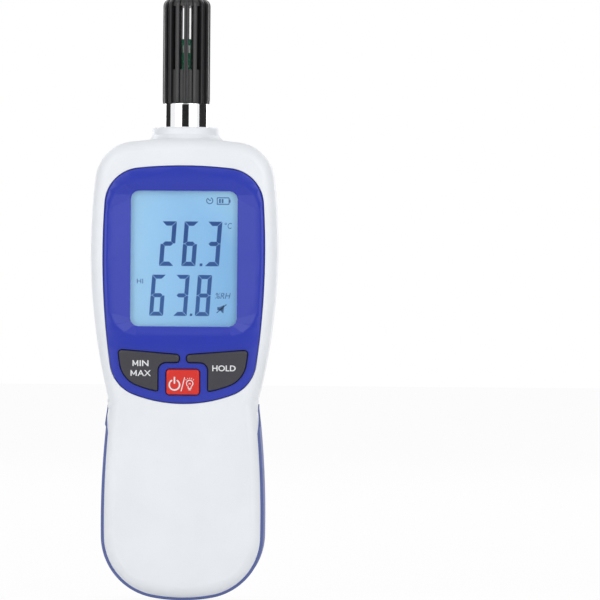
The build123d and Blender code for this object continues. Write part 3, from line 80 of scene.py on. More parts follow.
class Wire:
    """One socket of a material's nodes: sums on it add Math nodes, and node() adds any other beside it."""

    def __init__(self, socket):
        self.socket = socket
        self.tree = socket.id_data

    def node(self, kind, settings, sockets, out=0):
        made = self.tree.nodes.new(kind)
        for key, value in settings.items():
            setattr(made, key, value)
        for key, value in sockets.items():
            if isinstance(value, Wire):
                self.tree.links.new(value.socket, made.inputs[key])
            else:
                made.inputs[key].default_value = value
        return Wire(made.outputs[out])

    def sum(self, operation, *values):
        return self.node("ShaderNodeMath", {"operation": operation}, dict(enumerate(values)))

    def __add__(self, other):
        return self.sum("ADD", self, other)

    def __rsub__(self, other):
        return self.sum("SUBTRACT", other, self)

    def __mul__(self, other):
        return self.sum("MULTIPLY", self, other)

    __radd__ = __add__
    __rmul__ = __mul__

    def between(self, low, high):
        """The share of the way from one value to another, held between none and all."""
        return self.node("ShaderNodeMapRange", {"clamp": True}, {0: self, 1: low, 2: high, 3: 0.0, 4: 1.0})

    def along(self, axis):
        """One of a place's three measures."""
        return self.node("ShaderNodeSeparateXYZ", {}, {0: self}, axis)

    def feed(self, *sockets):
        for socket in sockets:
            self.tree.links.new(self.socket, socket)


def new_finish(name, colour, roughness, metallic=0.0):
    """A material with its constants on the shader's own sockets, and the place on the piece to vary it by."""
    made = bpy.data.materials.new(name)
    made.use_nodes = True
    shader = made.node_tree.nodes["Principled BSDF"]
    shader.inputs["Base Color"].default_value = (*colour, 1)
    shader.inputs["Roughness"].default_value = roughness
    shader.inputs["Metallic"].default_value = metallic
    place = Wire(made.node_tree.nodes.new("ShaderNodeTexCoord").outputs["Object"])
    return made, shader, place


def noise(place, grain, detail=2.0):
    """Noise whose grains are a number of millimetres across."""
    sockets = {"Vector": place, "Scale": 1 / (grain * MM), "Detail": detail}
    return place.node("ShaderNodeTexNoise", {}, sockets)


def texture(place, shader, grain, depth):
    """Moulded or worked texture: noise of a grain size pressed in by a depth, both in millimetres."""
    height = noise(place, grain)
    bump = place.node("ShaderNodeBump", {}, {"Height": height, "Distance": depth * MM, "Strength": 1.0})
    bump.feed(shader.inputs["Normal"])


def mixed(factor, first, second):
    """One colour turned into another by a factor."""
    colours = {0: factor, 6: first if isinstance(first, Wire) else (*first, 1), 7: (*second, 1)}
    return factor.node("ShaderNodeMix", {"data_type": "RGBA"}, colours, 2)


def vary(place, shader, colour, other, share, roughness):
    """Uneven colour and gloss: large soft noise turns the colour part of the way to another."""
    cloud = noise(place, CLOUD_SIZE, 3.0).between(0.3, 0.7)
    mixed(cloud * share, colour, other).feed(shader.inputs["Base Color"])
    (cloud * GLOSS_SPREAD + (roughness - GLOSS_SPREAD / 2)).feed(shader.inputs["Roughness"])


def moulding(name, colour, roughness, grain=0.28, depth=0.02, share=0.5):
    """Moulded plastic: faint clouding of its colour and gloss under a fine eroded texture."""
    made, shader, place = new_finish(name, colour, roughness)
    darker = tuple(part * 0.9 for part in colour)
    vary(place, shader, colour, darker, share, roughness)
    texture(place, shader, grain, depth)
    return made


CLOUD_SIZE = 14.0
GLOSS_SPREAD = 0.05
white_plastic = moulding("white case plastic", (0.80, 0.825, 0.86), 0.42, share=0.35)


def meeting(one, one_r, two, two_r):
    """Where two circles cross on the right: along the line of their centres, then square to it."""
    span = np.subtract(two, one)
    apart = np.hypot(*span)
    along = (one_r**2 - two_r**2 + apart**2) / (2 * apart)
    aside = math.sqrt(max(one_r**2 - along**2, 0))
    unit = span / apart
    found = [one + unit * along + np.array([-unit[1], unit[0]]) * aside * turn for turn in (1, -1)]
    return max(found, key=lambda point: point[0])


def case_half_outline():
    """Right half of the case's outline as arcs end to end: foot, corner, hip, waist, head, shoulder, top."""
    foot = (np.array([0.0, FOOT_R]), FOOT_R)
    hip_out, head_out = HIP_HALF - WAIST_HALF, HEAD_HALF - WAIST_HALF
    hip_r = (hip_out**2 + (WAIST_Z - HIP_Z) ** 2) / (2 * hip_out)
    hip = (np.array([HIP_HALF - hip_r, HIP_Z]), hip_r)
    head_r = (head_out**2 + (HEAD_Z - WAIST_Z) ** 2) / (2 * head_out)
    head = (np.array([HEAD_HALF - head_r, HEAD_Z]), head_r)
    top = (np.array([0.0, CASE_TOP - TOP_R]), TOP_R)
    corner = (meeting(foot[0], FOOT_R - FOOT_CORNER_R, hip[0], hip_r - FOOT_CORNER_R), FOOT_CORNER_R)
    waist = (meeting(hip[0], hip_r + FILLET_R, head[0], head_r + FILLET_R), -FILLET_R)
    shoulder = (meeting(head[0], head_r - FILLET_R, top[0], TOP_R - FILLET_R), FILLET_R)
    arcs = [foot, corner, hip, waist, head, shoulder, top]
    ends = [np.array([0.0, 0.0])]
    for (here, here_r), (there, there_r) in zip(arcs, arcs[1:]):
        if abs(there_r) < abs(here_r):
            small, small_r, large = there, there_r, here
        else:
            small, small_r, large = here, here_r, there
        away = (small - large) / np.hypot(*(small - large))
        ends.append(small + away * small_r)
    ends.append(np.array([0.0, CASE_TOP]))
    points, outward = [], []
    for (middle, radius), start, end in zip(arcs, ends, ends[1:]):
        from_angle = math.atan2(*(start - middle)[::-1])
        to_angle = math.atan2(*(end - middle)[::-1])
        angles = np.linspace(from_angle, to_angle, ARC_STEPS)
        spokes = np.stack([np.cos(angles), np.sin(angles)], 1)
        points.append(middle + spokes * abs(radius))
        outward.append(spokes * np.sign(radius))
    return np.concatenate(points), np.concatenate(outward)


outline_points, outline_normals = case_half_outline()
AT_ONCE = 4000
EDGE_SLACK = 0.05
ROUND_SLACK = 0.02
FINE_EDGE = 0.7 * MM
NEARLY = 1e-6


def inset_from_outline(x, z):
    """How far inside the case's outline places lie, along the normal of the arcs' nearest point, and that
    normal turned to each place's own side."""
    inset, outwards = np.empty(len(x)), np.empty((len(x), 2))
    for start in range(0, len(x), AT_ONCE):
        some = slice(start, start + AT_ONCE)
        here = np.stack([np.abs(x[some]), z[some]], 1)
        away = here[:, None, :] - outline_points[None]
        nearest = np.argmin((away**2).sum(2), axis=1)
        gap = away[np.arange(len(here)), nearest]
        inset[some] = -(gap * outline_normals[nearest]).sum(1)
        outwards[some] = outline_normals[nearest]
    outwards[:, 0] *= np.copysign(1, x)
    return inset, outwards


def corner_places(points, radius, grow, front):
    """Each point's distances inside the outline, behind the face and from the rounding's axis, the outline's
    normal, and whether the point lies on the rounding."""
    inset, outwards = inset_from_outline(points[:, 0], points[:, 2])
    inset += grow
    if front:
        depth = points[:, 1] - crown_y(points[:, 2], grow)
    else:
        depth = BACK_Y + grow - points[:, 1]
    reach = np.hypot(radius - inset, radius - depth)
    within = (np.minimum(inset, depth) > -EDGE_SLACK) & (np.maximum(inset, depth) < radius)
    return inset, depth, reach, outwards, within & (reach > radius - ROUND_SLACK)


def round_edge(shape, radius, grow, front):
    """Cuts an edge's flats finer, then draws their points in to the true radius round the edge's axis."""
    for _ in range(3):
        shape.verts.ensure_lookup_table()
        points = on_bench([v.co for v in shape.verts])
        near = corner_places(points, radius, grow, front)[-1]
        long_edges = [
            e for e in shape.edges
            if near[e.verts[0].index] and near[e.verts[1].index] and e.calc_length() > FINE_EDGE
        ]
        if not long_edges:
            break
        bmesh.ops.subdivide_edges(shape, edges=long_edges, cuts=1)
        bmesh.ops.triangulate(shape, faces=[f for f in shape.faces if len(f.verts) > 3])
        shape.verts.index_update()
    points = on_bench([v.co for v in shape.verts])
    inset, depth, reach, outwards, near = corner_places(points, radius, grow, front)
    share = np.where(near & (reach > radius), radius / np.maximum(reach, NEARLY), 1.0)
    inwards = (radius - inset) * (1 - share)
    points[:, [0, 2]] -= outwards * inwards[:, None]
    points[:, 1] += (radius - depth) * (1 - share) * (1 if front else -1)
    for vertex, place in zip(shape.verts, packed(points)):
        vertex.co = place


def show(name, mesh, body, material):
    """Puts a finished mesh in the scene as a piece of one finish that rides a body."""
    piece = bpy.data.objects.new(name, mesh)
    bpy.context.scene.collection.objects.link(piece)
    mesh.materials.clear()
    mesh.materials.append(material)
    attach(piece, body)
    return piece


def skin(node, name, body, material, rounding=(), sharp=38):
    """A copy of a frame node with its triangles joined, its edges rounded, and its shading made smooth."""
    shape = bmesh.new()
    shape.from_mesh(nodes[node].data)
    bmesh.ops.remove_doubles(shape, verts=shape.verts, dist=2 * JOIN)
    for radius, grow, front in rounding:
        round_edge(shape, radius, grow, front)
    mesh = bpy.data.meshes.new(name)
    shape.to_mesh(mesh)
    shape.free()
    for left_over in ("custom_normal", "sharp_edge", "sharp_face"):
        if left_over in mesh.attributes:
            mesh.attributes.remove(mesh.attributes[left_over])
    mesh.shade_smooth()
    mesh.set_sharp_from_angle(angle=math.radians(sharp))
    piece = show(name, mesh, body, material)
    even = piece.modifiers.new("even shading", "WEIGHTED_NORMAL")
    even.keep_sharp = True
    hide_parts(node)


FRONT_ROUND = (5.5, 0.0, True)
BACK_ROUND = (3.5, 0.0, False)
skin("front_case", "front_shell", "case", white_plastic, [FRONT_ROUND])
skin("rear_case", "rear_shell", "case", white_plastic, [BACK_ROUND])

# Grip band
# Soft blue elastomer moulded round the lower half and arched up to the waist. It stands a little proud of
# the white and has a dry, faintly dusty surface.

grip_rubber = moulding("blue grip rubber", (0.085, 0.12, 0.33), 0.6, grain=0.35, depth=0.03)
BAND_ROUND = (5.9, 0.4, True)
skin("grip_band", "grip_band_skin", "case", grip_rubber, [BAND_ROUND])

# Bezel
# One blue moulding pressed into the white front. Its window slopes down to the lens, and three openings let
# the keys through.

bezel_blue = moulding("blue bezel plastic", (0.011, 0.029, 0.395), 0.36, grain=0.3, depth=0.012)
skin("front_bezel", "bezel_skin", "case", bezel_blue, sharp=50)

# Display
# Clear lens over a display glass that is lit from behind: pale blue, with a painted glow that makes it
# brighter at its left and its top right, and dark blue segments just before the glass, with painted shade
# darker at their top.

lens_finish, lens_shine, lens_place = new_finish("clear lens", (0.95, 0.97, 1.0), 0.04, 1.0)
lens_tree = lens_finish.node_tree
lens_clear = lens_place.node("ShaderNodeBsdfTransparent", {}, {"Color": (0.97, 0.985, 1, 1)})
lens_edge = lens_place.node("ShaderNodeFresnel", {}, {"IOR": 1.4})
lens_smear = noise(lens_place, 9.0).between(0.2, 0.8) * 0.01
lens_mix = lens_place.node("ShaderNodeMixShader", {}, {0: lens_edge + lens_smear, 1: lens_clear})
lens_tree.links.new(lens_shine.outputs[0], lens_mix.socket.node.inputs[2])
lens_mix.feed(lens_tree.nodes["Material Output"].inputs["Surface"])


def dress(node, material):
    """Gives a frame node that keeps its own shape a finish."""
    slots = nodes[node].data.materials
    slots.clear()
    slots.append(material)


dress("display_lens", lens_finish)

LIT_BLUE = (0.31, 0.585, 0.86)
PAINTED_GLOW_BLUE = (0.46, 0.74, 0.94)
lit_glass, lit_shader, lit_place = new_finish("display glass with painted glow", LIT_BLUE, 0.3)
lit_x = lit_place.along("X")
lit_z = lit_place.along("Z")
# Painted glow: the glass is coloured lighter at its left and towards its top right, with a little random tone
# from noise.
left_painted_glow = 1 - lit_x.between(-0.018, 0.014)
corner_painted_glow = (lit_x * 0.6 + lit_z).between(0.006, 0.024)
painted_glow = left_painted_glow.sum("MAXIMUM", left_painted_glow, corner_painted_glow) * 0.88 + noise(lit_place, 12.0) * 0.12
painted_glow_colour = mixed(painted_glow, LIT_BLUE, PAINTED_GLOW_BLUE)
painted_glow_colour.feed(lit_shader.inputs["Base Color"], lit_shader.inputs["Emission Color"])
# The painted glow also shines through the emission: it stands in for the backlight and also lifts the shade
# of the lens and recess.
lit_shader.inputs["Emission Strength"].default_value = 0.22
dress("lcd_front_glass", lit_glass)


def seal(mesh, thin=False):
    """Joins a mesh's points that meet, drops faces without width where asked, and turns the rest outwards."""
    shape = bmesh.new()
    shape.from_mesh(mesh)
    bmesh.ops.remove_doubles(shape, verts=shape.verts, dist=JOIN)
    if thin:
        bmesh.ops.dissolve_degenerate(shape, edges=shape.edges, dist=JOIN / 2)
    bmesh.ops.recalc_face_normals(shape, faces=shape.faces)
    shape.to_mesh(mesh)
    shape.free()


def add_piece(name, points, faces, body, slot, material, smooth=0):
    """A new piece from bench points and faces, with its shading smooth up to an angle in degrees."""
    mesh = bpy.data.meshes.new(name)
    mesh.from_pydata(packed(points).tolist(), [], [list(map(int, face)) for face in faces])
    seal(mesh, thin=True)
    if smooth:
        mesh.shade_smooth()
        mesh.set_sharp_from_angle(angle=math.radians(smooth))
    return show(name, mesh, body, material)


def plates(outlines, depth_at):
    """Flat outlines in x and z made thin plates, with a front at the depth that the height gives."""
    points, faces = [], []
    for outline in outlines:
        outline = np.asarray(outline, float)
        count, base = len(outline), len(points)
        front = depth_at(outline[:, 1])
        for shift in (0.0, INK_THICK):
            points += np.stack([outline[:, 0], front + shift, outline[:, 1]], 1).tolist()
        around = np.arange(count)
        after = (around + 1) % count
        faces.append((base + around).tolist())
        faces.append((base + count + around[::-1]).tolist())
        faces += (base + np.stack([around, after, after + count, around + count], 1)).tolist()
    return np.array(points), faces


def digit(lit, left, right, foot, top, thick):
    """Lit bars of a seven-part figure: polygons on a grid of the figure's box, leaned by their height."""
    wide = right - left - (top - foot) * LEAN
    high = top - foot
    mid, half, gap = high / 2, thick / 2, BAR_GAP
    low = high - thick
    top_bar = [(gap, high), (wide - gap, high), (wide - thick - gap, low), (thick + gap, low)]
    middle = [(half, mid), (thick, mid + half), (wide - thick, mid + half)]
    bars = {
        "a": top_bar,
        "d": [(x, high - z) for x, z in top_bar],
        "g": middle + [(wide - x, high - z) for x, z in middle],
        "f": [(0, high - gap), (thick, low - gap), (thick, mid + half + gap),
              (half - gap, mid + gap), (0, mid + gap)],
        "e": [(0, gap), (0, mid - gap), (half - gap, mid - gap),
              (thick, mid - half - gap), (thick, thick + gap)],
    }
    bars["b"] = [(wide - x, z) for x, z in bars["f"]]
    bars["c"] = [(wide - x, z) for x, z in bars["e"]]
    leaned = [np.array(bars[bar]) @ [[1, 0], [LEAN, 1]] for bar in lit]
    return [corners + (left, foot) for corners in leaned]


def band_along(path, width):
    """Four-sided plates that follow a path: each step widened by half the width to both sides."""
    path = np.asarray(path, float)
    steps = np.diff(path, axis=0)
    aside = np.stack([-steps[:, 1], steps[:, 0]], 1) / np.hypot(*steps.T)[:, None] * width / 2
    return [np.array([a + n, b + n, b - n, a - n]) for a, b, n in zip(path, path[1:], aside)]


def arc(x, z, radius, start, end, steps=14):
    """Points along part of a circle, with its angles in degrees."""
    angles = np.radians(np.linspace(start, end, steps))
    return np.stack([x + radius * np.cos(angles), z + radius * np.sin(angles)], 1)


LEAN = math.tan(math.radians(4))
SEGMENT_Y = -13.66
INK_THICK = 0.02
BAR_GAP = 0.10
FIGURES = {"2": "abged", "6": "afgedc", "3": "abgcd", "8": "abcdefg"}
UPPER_ROW = (113.7, 128.8, 1.45)
LOWER_ROW = (96.8, 110.7, 1.35)

upper = digit(FIGURES["2"], -8.5, -2.5, *UPPER_ROW)
upper += digit(FIGURES["6"], -0.9, 4.9, *UPPER_ROW)
upper += digit(FIGURES["3"], 7.0, 12.9, *UPPER_ROW)
upper.append(np.array([(5.3, 113.7), (6.2, 113.7), (6.25, 114.6), (5.35, 114.6)]))
lower = digit(FIGURES["6"], -11.7, -6.0, *LOWER_ROW)
lower += digit(FIGURES["3"], -3.6, 2.0, *LOWER_ROW)
lower += digit(FIGURES["8"], 3.8, 9.6, *LOWER_ROW)
lower.append(np.array([(2.1, 96.8), (2.9, 96.8), (2.95, 97.6), (2.15, 97.6)]))

segment_ink, segment_shader, segment_place = new_finish("display segments", (0.045, 0.13, 0.40), 0.35)
# Painted shade: the segments' blue is darker towards the top of the display and lighter towards its foot.
painted_light_below = 1 - segment_place.along("Z").between(-0.028, 0.007)
mixed(painted_light_below, (0.042, 0.125, 0.385), (0.07, 0.185, 0.47)).feed(segment_shader.inputs["Base Color"])


def at_segments(z):
    """The same depth all over: the segments' plane just before the glass."""
    return np.full(len(z), SEGMENT_Y)


add_piece("display_figures", *plates(upper + lower, at_segments), "case", "lcd_glass", segment_ink)


def mottled(name, colour, first, second, grain, roughness, metallic=0.0):
    """A finish whose colour drifts from one to another by noise of a grain size in millimetres."""
    made, shader, place = new_finish(name, colour, roughness, metallic)
    mixed(noise(place, grain), first, second).feed(shader.inputs["Base Color"])
    return made


faint_ink = mottled("display symbols", (0.10, 0.20, 0.42), (0.085, 0.18, 0.40), (0.15, 0.28, 0.50), 1.5, 0.35)

# Clock, battery with two bars, crossed-out speaker, and the degree ring.
symbols = band_along(arc(8.55, 135.9, 1.05, 130, 430), 0.32)
symbols += band_along([(8.0, 136.6), (8.55, 135.9), (9.05, 136.2)], 0.28)
symbols += band_along([(11.1, 134.7), (15.1, 134.7), (15.1, 136.9), (11.1, 136.9), (11.1, 134.55)], 0.3)
symbols += [np.array([(x, 135.1), (x + 0.6, 135.1), (x + 0.6, 136.5), (x, 136.5)]) for x in (11.7, 12.6)]
symbols.append(np.array([(15.25, 135.3), (15.6, 135.3), (15.6, 136.3), (15.25, 136.3)]))
speaker = [(11.4, 98.8), (12.2, 98.8), (13.5, 97.7), (13.7, 100.6), (12.3, 99.9), (11.4, 99.9)]
symbols.append(np.array(speaker))
symbols += band_along([(11.2, 97.9), (14.5, 100.8)], 0.35)
symbols += band_along(arc(14.05, 128.1, 0.3, 0, 360, 9), 0.18)
add_piece("display_symbols", *plates(symbols, at_segments), "case", "lcd_glass", faint_ink)


def lettering(name, letters, box, depth_at, body, material, weight=0.0, lean=0.0):
    """Plain letters on a surface: their flat shape is stretched to a box and laid at each point's depth."""
    curve = bpy.data.curves.new(name, "FONT")
    curve.body = letters
    curve.extrude = 0.01
    curve.offset = weight
    curve.shear = lean
    curve.resolution_u = 4
    holder = bpy.data.objects.new(name + "_curve", curve)
    bpy.context.scene.collection.objects.link(holder)
    bpy.context.view_layer.update()
    mesh = bpy.data.meshes.new_from_object(holder.evaluated_get(bpy.context.evaluated_depsgraph_get()))
    bpy.data.objects.remove(holder)
    flat = np.empty(len(mesh.vertices) * 3)
    mesh.vertices.foreach_get("co", flat)
    flat = flat.reshape(-1, 3)
    share = (flat - flat.min(0)) / (flat.max(0) - flat.min(0))
    low_x, high_x, low_z, high_z = box
    x = low_x + share[:, 0] * (high_x - low_x)
    z = low_z + share[:, 1] * (high_z - low_z)
    y = depth_at(z) + INK_THICK * (1 - share[:, 2])
    mesh.vertices.foreach_set("co", packed(np.stack([x, y, z], 1)).ravel())
    seal(mesh)
    show(name, mesh, body, material)


for name, letters, box, lean in (
    ("high_mark", "HI", (-15.9, -13.8, 107.7, 109.3), 0.0),
    ("celsius_mark", "C", (14.7, 16.1, 126.4, 128.4), 0.1),
    ("humidity_mark", "%RH", (10.6, 15.9, 102.7, 104.7), 0.25),
):
    lettering(name, letters, box, at_segments, "case", faint_ink, lean=lean)

dress("lens_gasket", moulding("lens gasket foam", (0.03, 0.03, 0.035), 0.9, grain=0.4, depth=0.05))
dress("lcd_rear_glass", moulding("rear display glass", (0.45, 0.55, 0.55), 0.15, depth=0.0))
dress("backlight_panel", moulding("backlight guide", (0.75, 0.80, 0.82), 0.3, grain=0.8, depth=0.02))
dress("lcd_frame", moulding("display frame plastic", (0.6, 0.61, 0.6), 0.5))

STRIPE_PITCH = 0.4 * MM
zebra, zebra_shader, zebra_place = new_finish("striped contact rubber", (0.5, 0.2, 0.2), 0.7)
stripes = zebra_place.along("X") * (2 * math.pi / STRIPE_PITCH)
stripes = stripes.sum("SINE", stripes).between(-0.2, 0.2)
mixed(stripes, (0.02, 0.02, 0.02), (0.55, 0.25, 0.22)).feed(zebra_shader.inputs["Base Color"])
dress("zebra_strip", zebra)

# Keys
# Two grey rubber-like side keys and a red one between them. Each cap is crowned as the bezel is, and its
# legend is printed on it in white.

key_grey = moulding("dark grey key", (0.036, 0.034, 0.044), 0.5, grain=0.35, depth=0.02)
key_red = moulding("red key", (0.665, 0.018, 0.008), 0.42, grain=0.35, depth=0.012)
skin("min_max_key", "left_key_skin", "min_max_key", key_grey, sharp=50)
skin("hold_key", "right_key_skin", "hold_key", key_grey, sharp=50)
skin("power_key", "power_key_skin", "power_key", key_red, sharp=50)

print_white, print_shader, print_place = new_finish("white key print", (0.74, 0.75, 0.77), 0.5)
wear = noise(print_place, 0.35).between(0.35, 0.75) * 0.5
mixed(wear, (0.76, 0.77, 0.79), (0.55, 0.56, 0.58)).feed(print_shader.inputs["Base Color"])
KEY_PROUD = 1.5
PRINT_PROUD = 0.015


def on_keys(z):
    """The key caps' crowned face, with the print's own thickness before it."""
    return crown_y(z, KEY_PROUD + PRINT_PROUD)


def letter_m(box, stroke=0.38):
    """The letter M as four strokes in a box: two uprights, and two slopes that meet above its foot."""
    low_x, high_x, foot, top = box
    left, right = low_x + stroke / 2, high_x - stroke / 2
    slopes = [(left, top - 0.14), ((low_x + high_x) / 2, foot + 0.45), (right, top - 0.14)]
    strokes = band_along([(left, foot), (left, top)], stroke)
    strokes += band_along([(right, foot), (right, top)], stroke)
    return strokes + band_along(slopes, stroke * 0.85)


MIN_ROW = (79.75, 81.75)
MAX_ROW = (76.4, 78.4)
m_strokes = letter_m((-17.0, -15.05, *MIN_ROW)) + letter_m((-17.65, -15.55, *MAX_ROW))
add_piece("m_legends", *plates(m_strokes, on_keys), "min_max_key", "grey_key", print_white)
for name, letters, box, key, weight in (
    ("min_legend", "IN", (-14.6, -11.6, *MIN_ROW), "min_max_key", 0.016),
    ("max_legend", "AX", (-15.3, -10.75, *MAX_ROW), "min_max_key", 0.008),
    ("hold_legend", "HOLD", (9.95, 17.85, 78.2, 80.2), "hold_key", 0.016),
):
    lettering(name, letters, box, on_keys, key, print_white, weight)

# Power sign, stroke, and a bulb with its cap, filament and rays.
BULB = (2.35, 74.0)
power_marks = band_along(arc(-2.8, 73.5, 1.75, 118, 422, 26), 0.5)
power_marks += band_along([(-2.8, 73.9), (-2.8, 76.2)], 0.5)
power_marks += band_along([(-0.55, 71.35), (0.65, 76.1)], 0.3)
power_marks += band_along(arc(*BULB, 1.1, -55, 235, 20), 0.3)
power_marks += band_along([(1.85, 73.0), (1.85, 72.3), (2.85, 72.3), (2.85, 73.0)], 0.26)
power_marks += band_along([(1.95, 71.85), (2.75, 71.85)], 0.3)
power_marks += band_along([(2.05, 73.7), (2.35, 74.2), (2.65, 73.7)], 0.2)
for turn in (45, 68, 90, 112, 135):
    turn = math.radians(turn)
    ray = np.array([(math.cos(turn), math.sin(turn))])
    power_marks += band_along(np.concatenate([ray * 1.5, ray * 2.0]) + BULB, 0.16)
add_piece("power_marks", *plates(power_marks, on_keys), "power_key", "red_key", print_white)

carbon = moulding("carbon contact", (0.015, 0.015, 0.016), 0.7)
for pill in ("min_max_contact", "hold_contact", "power_contact"):
    dress(pill, carbon)
dress("keypad_mat", moulding("keypad silicone", (0.35, 0.36, 0.36), 0.6, grain=0.5, depth=0.01))

# Collar
# A short chromed brass tube turned on a lathe, with a broken edge at both ends. The guard's spigot is
# pushed into it.


def turned(profile, steps=128):
    """A turned shape: each radius and height of a profile goes round an upright axis in even steps."""
    profile = np.asarray(profile, float)
    angles = np.linspace(0, 2 * math.pi, steps, endpoint=False)
    x = profile[:, 0, None] * np.cos(angles)
    y = profile[:, 0, None] * np.sin(angles)
    return np.stack([x, y, np.broadcast_to(profile[:, 1, None], x.shape)], 2)


def woven(grid, closed=False):
    """Quads between a grid's neighbours: it closes on itself along its rows, and maybe along its columns."""
    rows, columns = grid.shape[:2]
    index = np.arange(rows * columns).reshape(rows, columns)
    across = np.roll(index, -1, 1)
    down = np.roll(index, -1, 0)
    both = np.roll(across, -1, 0)
    quads = np.stack([index, across, both, down], 2)
    if not closed:
        quads = quads[:-1]
    return grid.reshape(-1, 3), quads.reshape(-1, 4).tolist()


chrome, chrome_shader, chrome_place = new_finish("chromed brass", (0.88, 0.885, 0.90), 0.06, 1.0)
smudge = noise(chrome_place, 3.0, 4.0).between(0.45, 0.8)
(smudge * 0.08 + 0.045).feed(chrome_shader.inputs["Roughness"])
collar_profile = [
    (6.6, 156.0), (7.2, 156.0), (7.6, 156.5), (7.6, 156.6), (7.6, 168.75),
    (7.6, 168.85), (7.52, 169.08), (7.3, 169.2), (6.7, 169.2), (6.6, 169.1),
]
collar = add_piece("collar_tube", *woven(turned(collar_profile), True), "case", "chrome", chrome, 40)
flange_profile = [(7.4, 156.1), (9.0, 156.1), (9.0, 157.8), (7.4, 157.8)]
add_piece("collar_flange", *woven(turned(flange_profile), True), "case", "chrome", chrome, 40)
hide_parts("probe_collar")

# Guard
# Black nylon cap over the sensor: closed flutes below, open slots between round-backed ribs above, a
# scalloped dome, and a spigot inside the collar.

GUARD_R = 8.1
BORE_R = 5.5
SPIGOT_R = 6.5
SPIGOT_LENGTH = 6
COLLAR_TOP = 169.2
SLOT_FOOT = 180.6
SLOT_TOP = 202.3
SLOT_HALF = 0.78
GUARD_TOP = 205.0
DOME_R = 2.6
FLUTES = 16
FLUTE_STEPS = 14
FLUTE_DEPTH = 0.9
FLUTE_HALF = 0.92
FLUTE_SLOPE = 0.25
RIB_SHOULDER = 0.8
RIB_FALL = 0.1
FOOT_EDGE = 0.15


def guard_profile():
    """Heights up the guard, with the wall's radius and the flutes' depth at each."""
    spigot = np.linspace(COLLAR_TOP - SPIGOT_LENGTH, COLLAR_TOP, 4)
    spigot[-1] -= 0.001
    lower = np.linspace(COLLAR_TOP, SLOT_FOOT, 10)
    slots = np.linspace(SLOT_FOOT + 0.01, SLOT_TOP, 22)
    springing = GUARD_TOP - DOME_R
    fluted = np.concatenate([lower, slots, [springing]])
    swing = np.radians(np.linspace(0, 90, 10))[1:]
    heights = np.concatenate([spigot, fluted, springing + DOME_R * np.sin(swing), [GUARD_TOP] * 3])
    dome = np.concatenate([GUARD_R - DOME_R + DOME_R * np.cos(swing), [3.6, 1.8, 0.0]])
    wall = np.concatenate([np.full(len(spigot), SPIGOT_R), np.full(len(fluted), GUARD_R), dome])
    wall[len(spigot)] -= FOOT_EDGE
    dome_dip = np.concatenate([np.linspace(FLUTE_DEPTH, 0.75, len(swing)), [0.3, 0, 0]])
    dip = np.concatenate([np.zeros(len(spigot)), np.full(len(fluted), FLUTE_DEPTH), dome_dip])
    return heights, wall, dip


def rings(radius, height, turns):
    """Points round the axis: every radius of a grid at its turn, and every row at its height."""
    spokes = radius[:, :, None] * np.stack([np.cos(turns), np.sin(turns)], 1)
    return np.concatenate([spokes, np.broadcast_to(height[:, None, None], radius.shape + (1,))], 2)


def pierced(outer, inner, kept):
    """A wall between two grids: both skins where a cell is kept, joined round what is left out."""
    rows, columns = outer.shape[:2]
    index = np.arange(rows * columns).reshape(rows, columns)
    beside = np.roll(index, -1, 1)
    inside = rows * columns
    skins = np.stack([index[:-1], beside[:-1], beside[1:], index[1:]], 2)[kept]
    faces = [skins, skins[:, ::-1] + inside]
    above, below = np.zeros_like(kept), np.zeros_like(kept)
    above[:-1] = kept[:-1] & ~kept[1:]
    below[1:] = kept[1:] & ~kept[:-1]
    before = kept & ~np.roll(kept, 1, 1)
    after = kept & ~np.roll(kept, -1, 1)
    for first, second in (
        (index[:-1][before], index[1:][before]),
        (beside[1:][after], beside[:-1][after]),
        (index[1:][above], beside[1:][above]),
        (beside[:-1][below], index[:-1][below]),
        (beside[0], index[0]),
    ):
        faces.append(np.stack([first, second, second + inside, first + inside], 1))
    points = np.concatenate([outer.reshape(-1, 3), inner.reshape(-1, 3)])
    return points, np.concatenate(faces).tolist()


def guard_shell():
    """The outer skin dips by a smooth step at each flute, the inner is the bore, and a cell is left out where
    it lies in a flute and between the slots' ends."""
    turns = np.linspace(0, 2 * math.pi, FLUTES * FLUTE_STEPS, endpoint=False)
    cycle = (turns * FLUTES / (2 * math.pi) + 0.5) % 1.0
    across = np.minimum(cycle, 1 - cycle) * 2 * math.pi * GUARD_R / FLUTES
    groove = np.clip((FLUTE_HALF - across) / FLUTE_SLOPE, 0, 1)
    groove = groove * groove * (3 - 2 * groove)
    rib_fall = RIB_FALL * (1 - np.clip(across / RIB_SHOULDER - 1, 0, 1))
    heights, wall, dip = guard_profile()
    fluted = (dip > 0.5).astype(float)
    radius = wall[:, None] - dip[:, None] * groove - fluted[:, None] * rib_fall
    bored = heights <= SLOT_TOP + NEARLY
    bore = np.where(bored, BORE_R, 0.0)
    bore[~bored] = np.linspace(BORE_R - 0.4, 0, np.count_nonzero(~bored))
    outer = rings(radius, heights, turns)
    inner = rings(np.broadcast_to(bore[:, None], radius.shape), np.minimum(heights, SLOT_TOP), turns)
    open_turn = (np.roll(across, -1) + across) / 2 < SLOT_HALF
    open_row = (heights[:-1] > SLOT_FOOT) & bored[1:]
    return pierced(outer, inner, ~(open_row[:, None] & open_turn[None]))


guard_black = moulding("black guard nylon", (0.016, 0.016, 0.018), 0.33, grain=0.4, depth=0.012)
guard = add_piece("fluted_guard", *guard_shell(), "case", "black_plastic", guard_black, 42)
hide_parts("sensor_guard")

# Sensor
# A green board stands in the guard with its humidity sensor near the top and small parts soldered below it,
# gripped by a moulded plug in the collar.


def lacquered(name, colour, grain, spread, dark, light):
    """Green lacquer over copper: noise that is cut to narrow lines shows the tracks below."""
    made, shader, place = new_finish(name, colour, 0.35)
    tracks = noise(place, grain, 1.0).between(*spread) * 0.6
    mixed(tracks, dark, light).feed(shader.inputs["Base Color"])
    return made


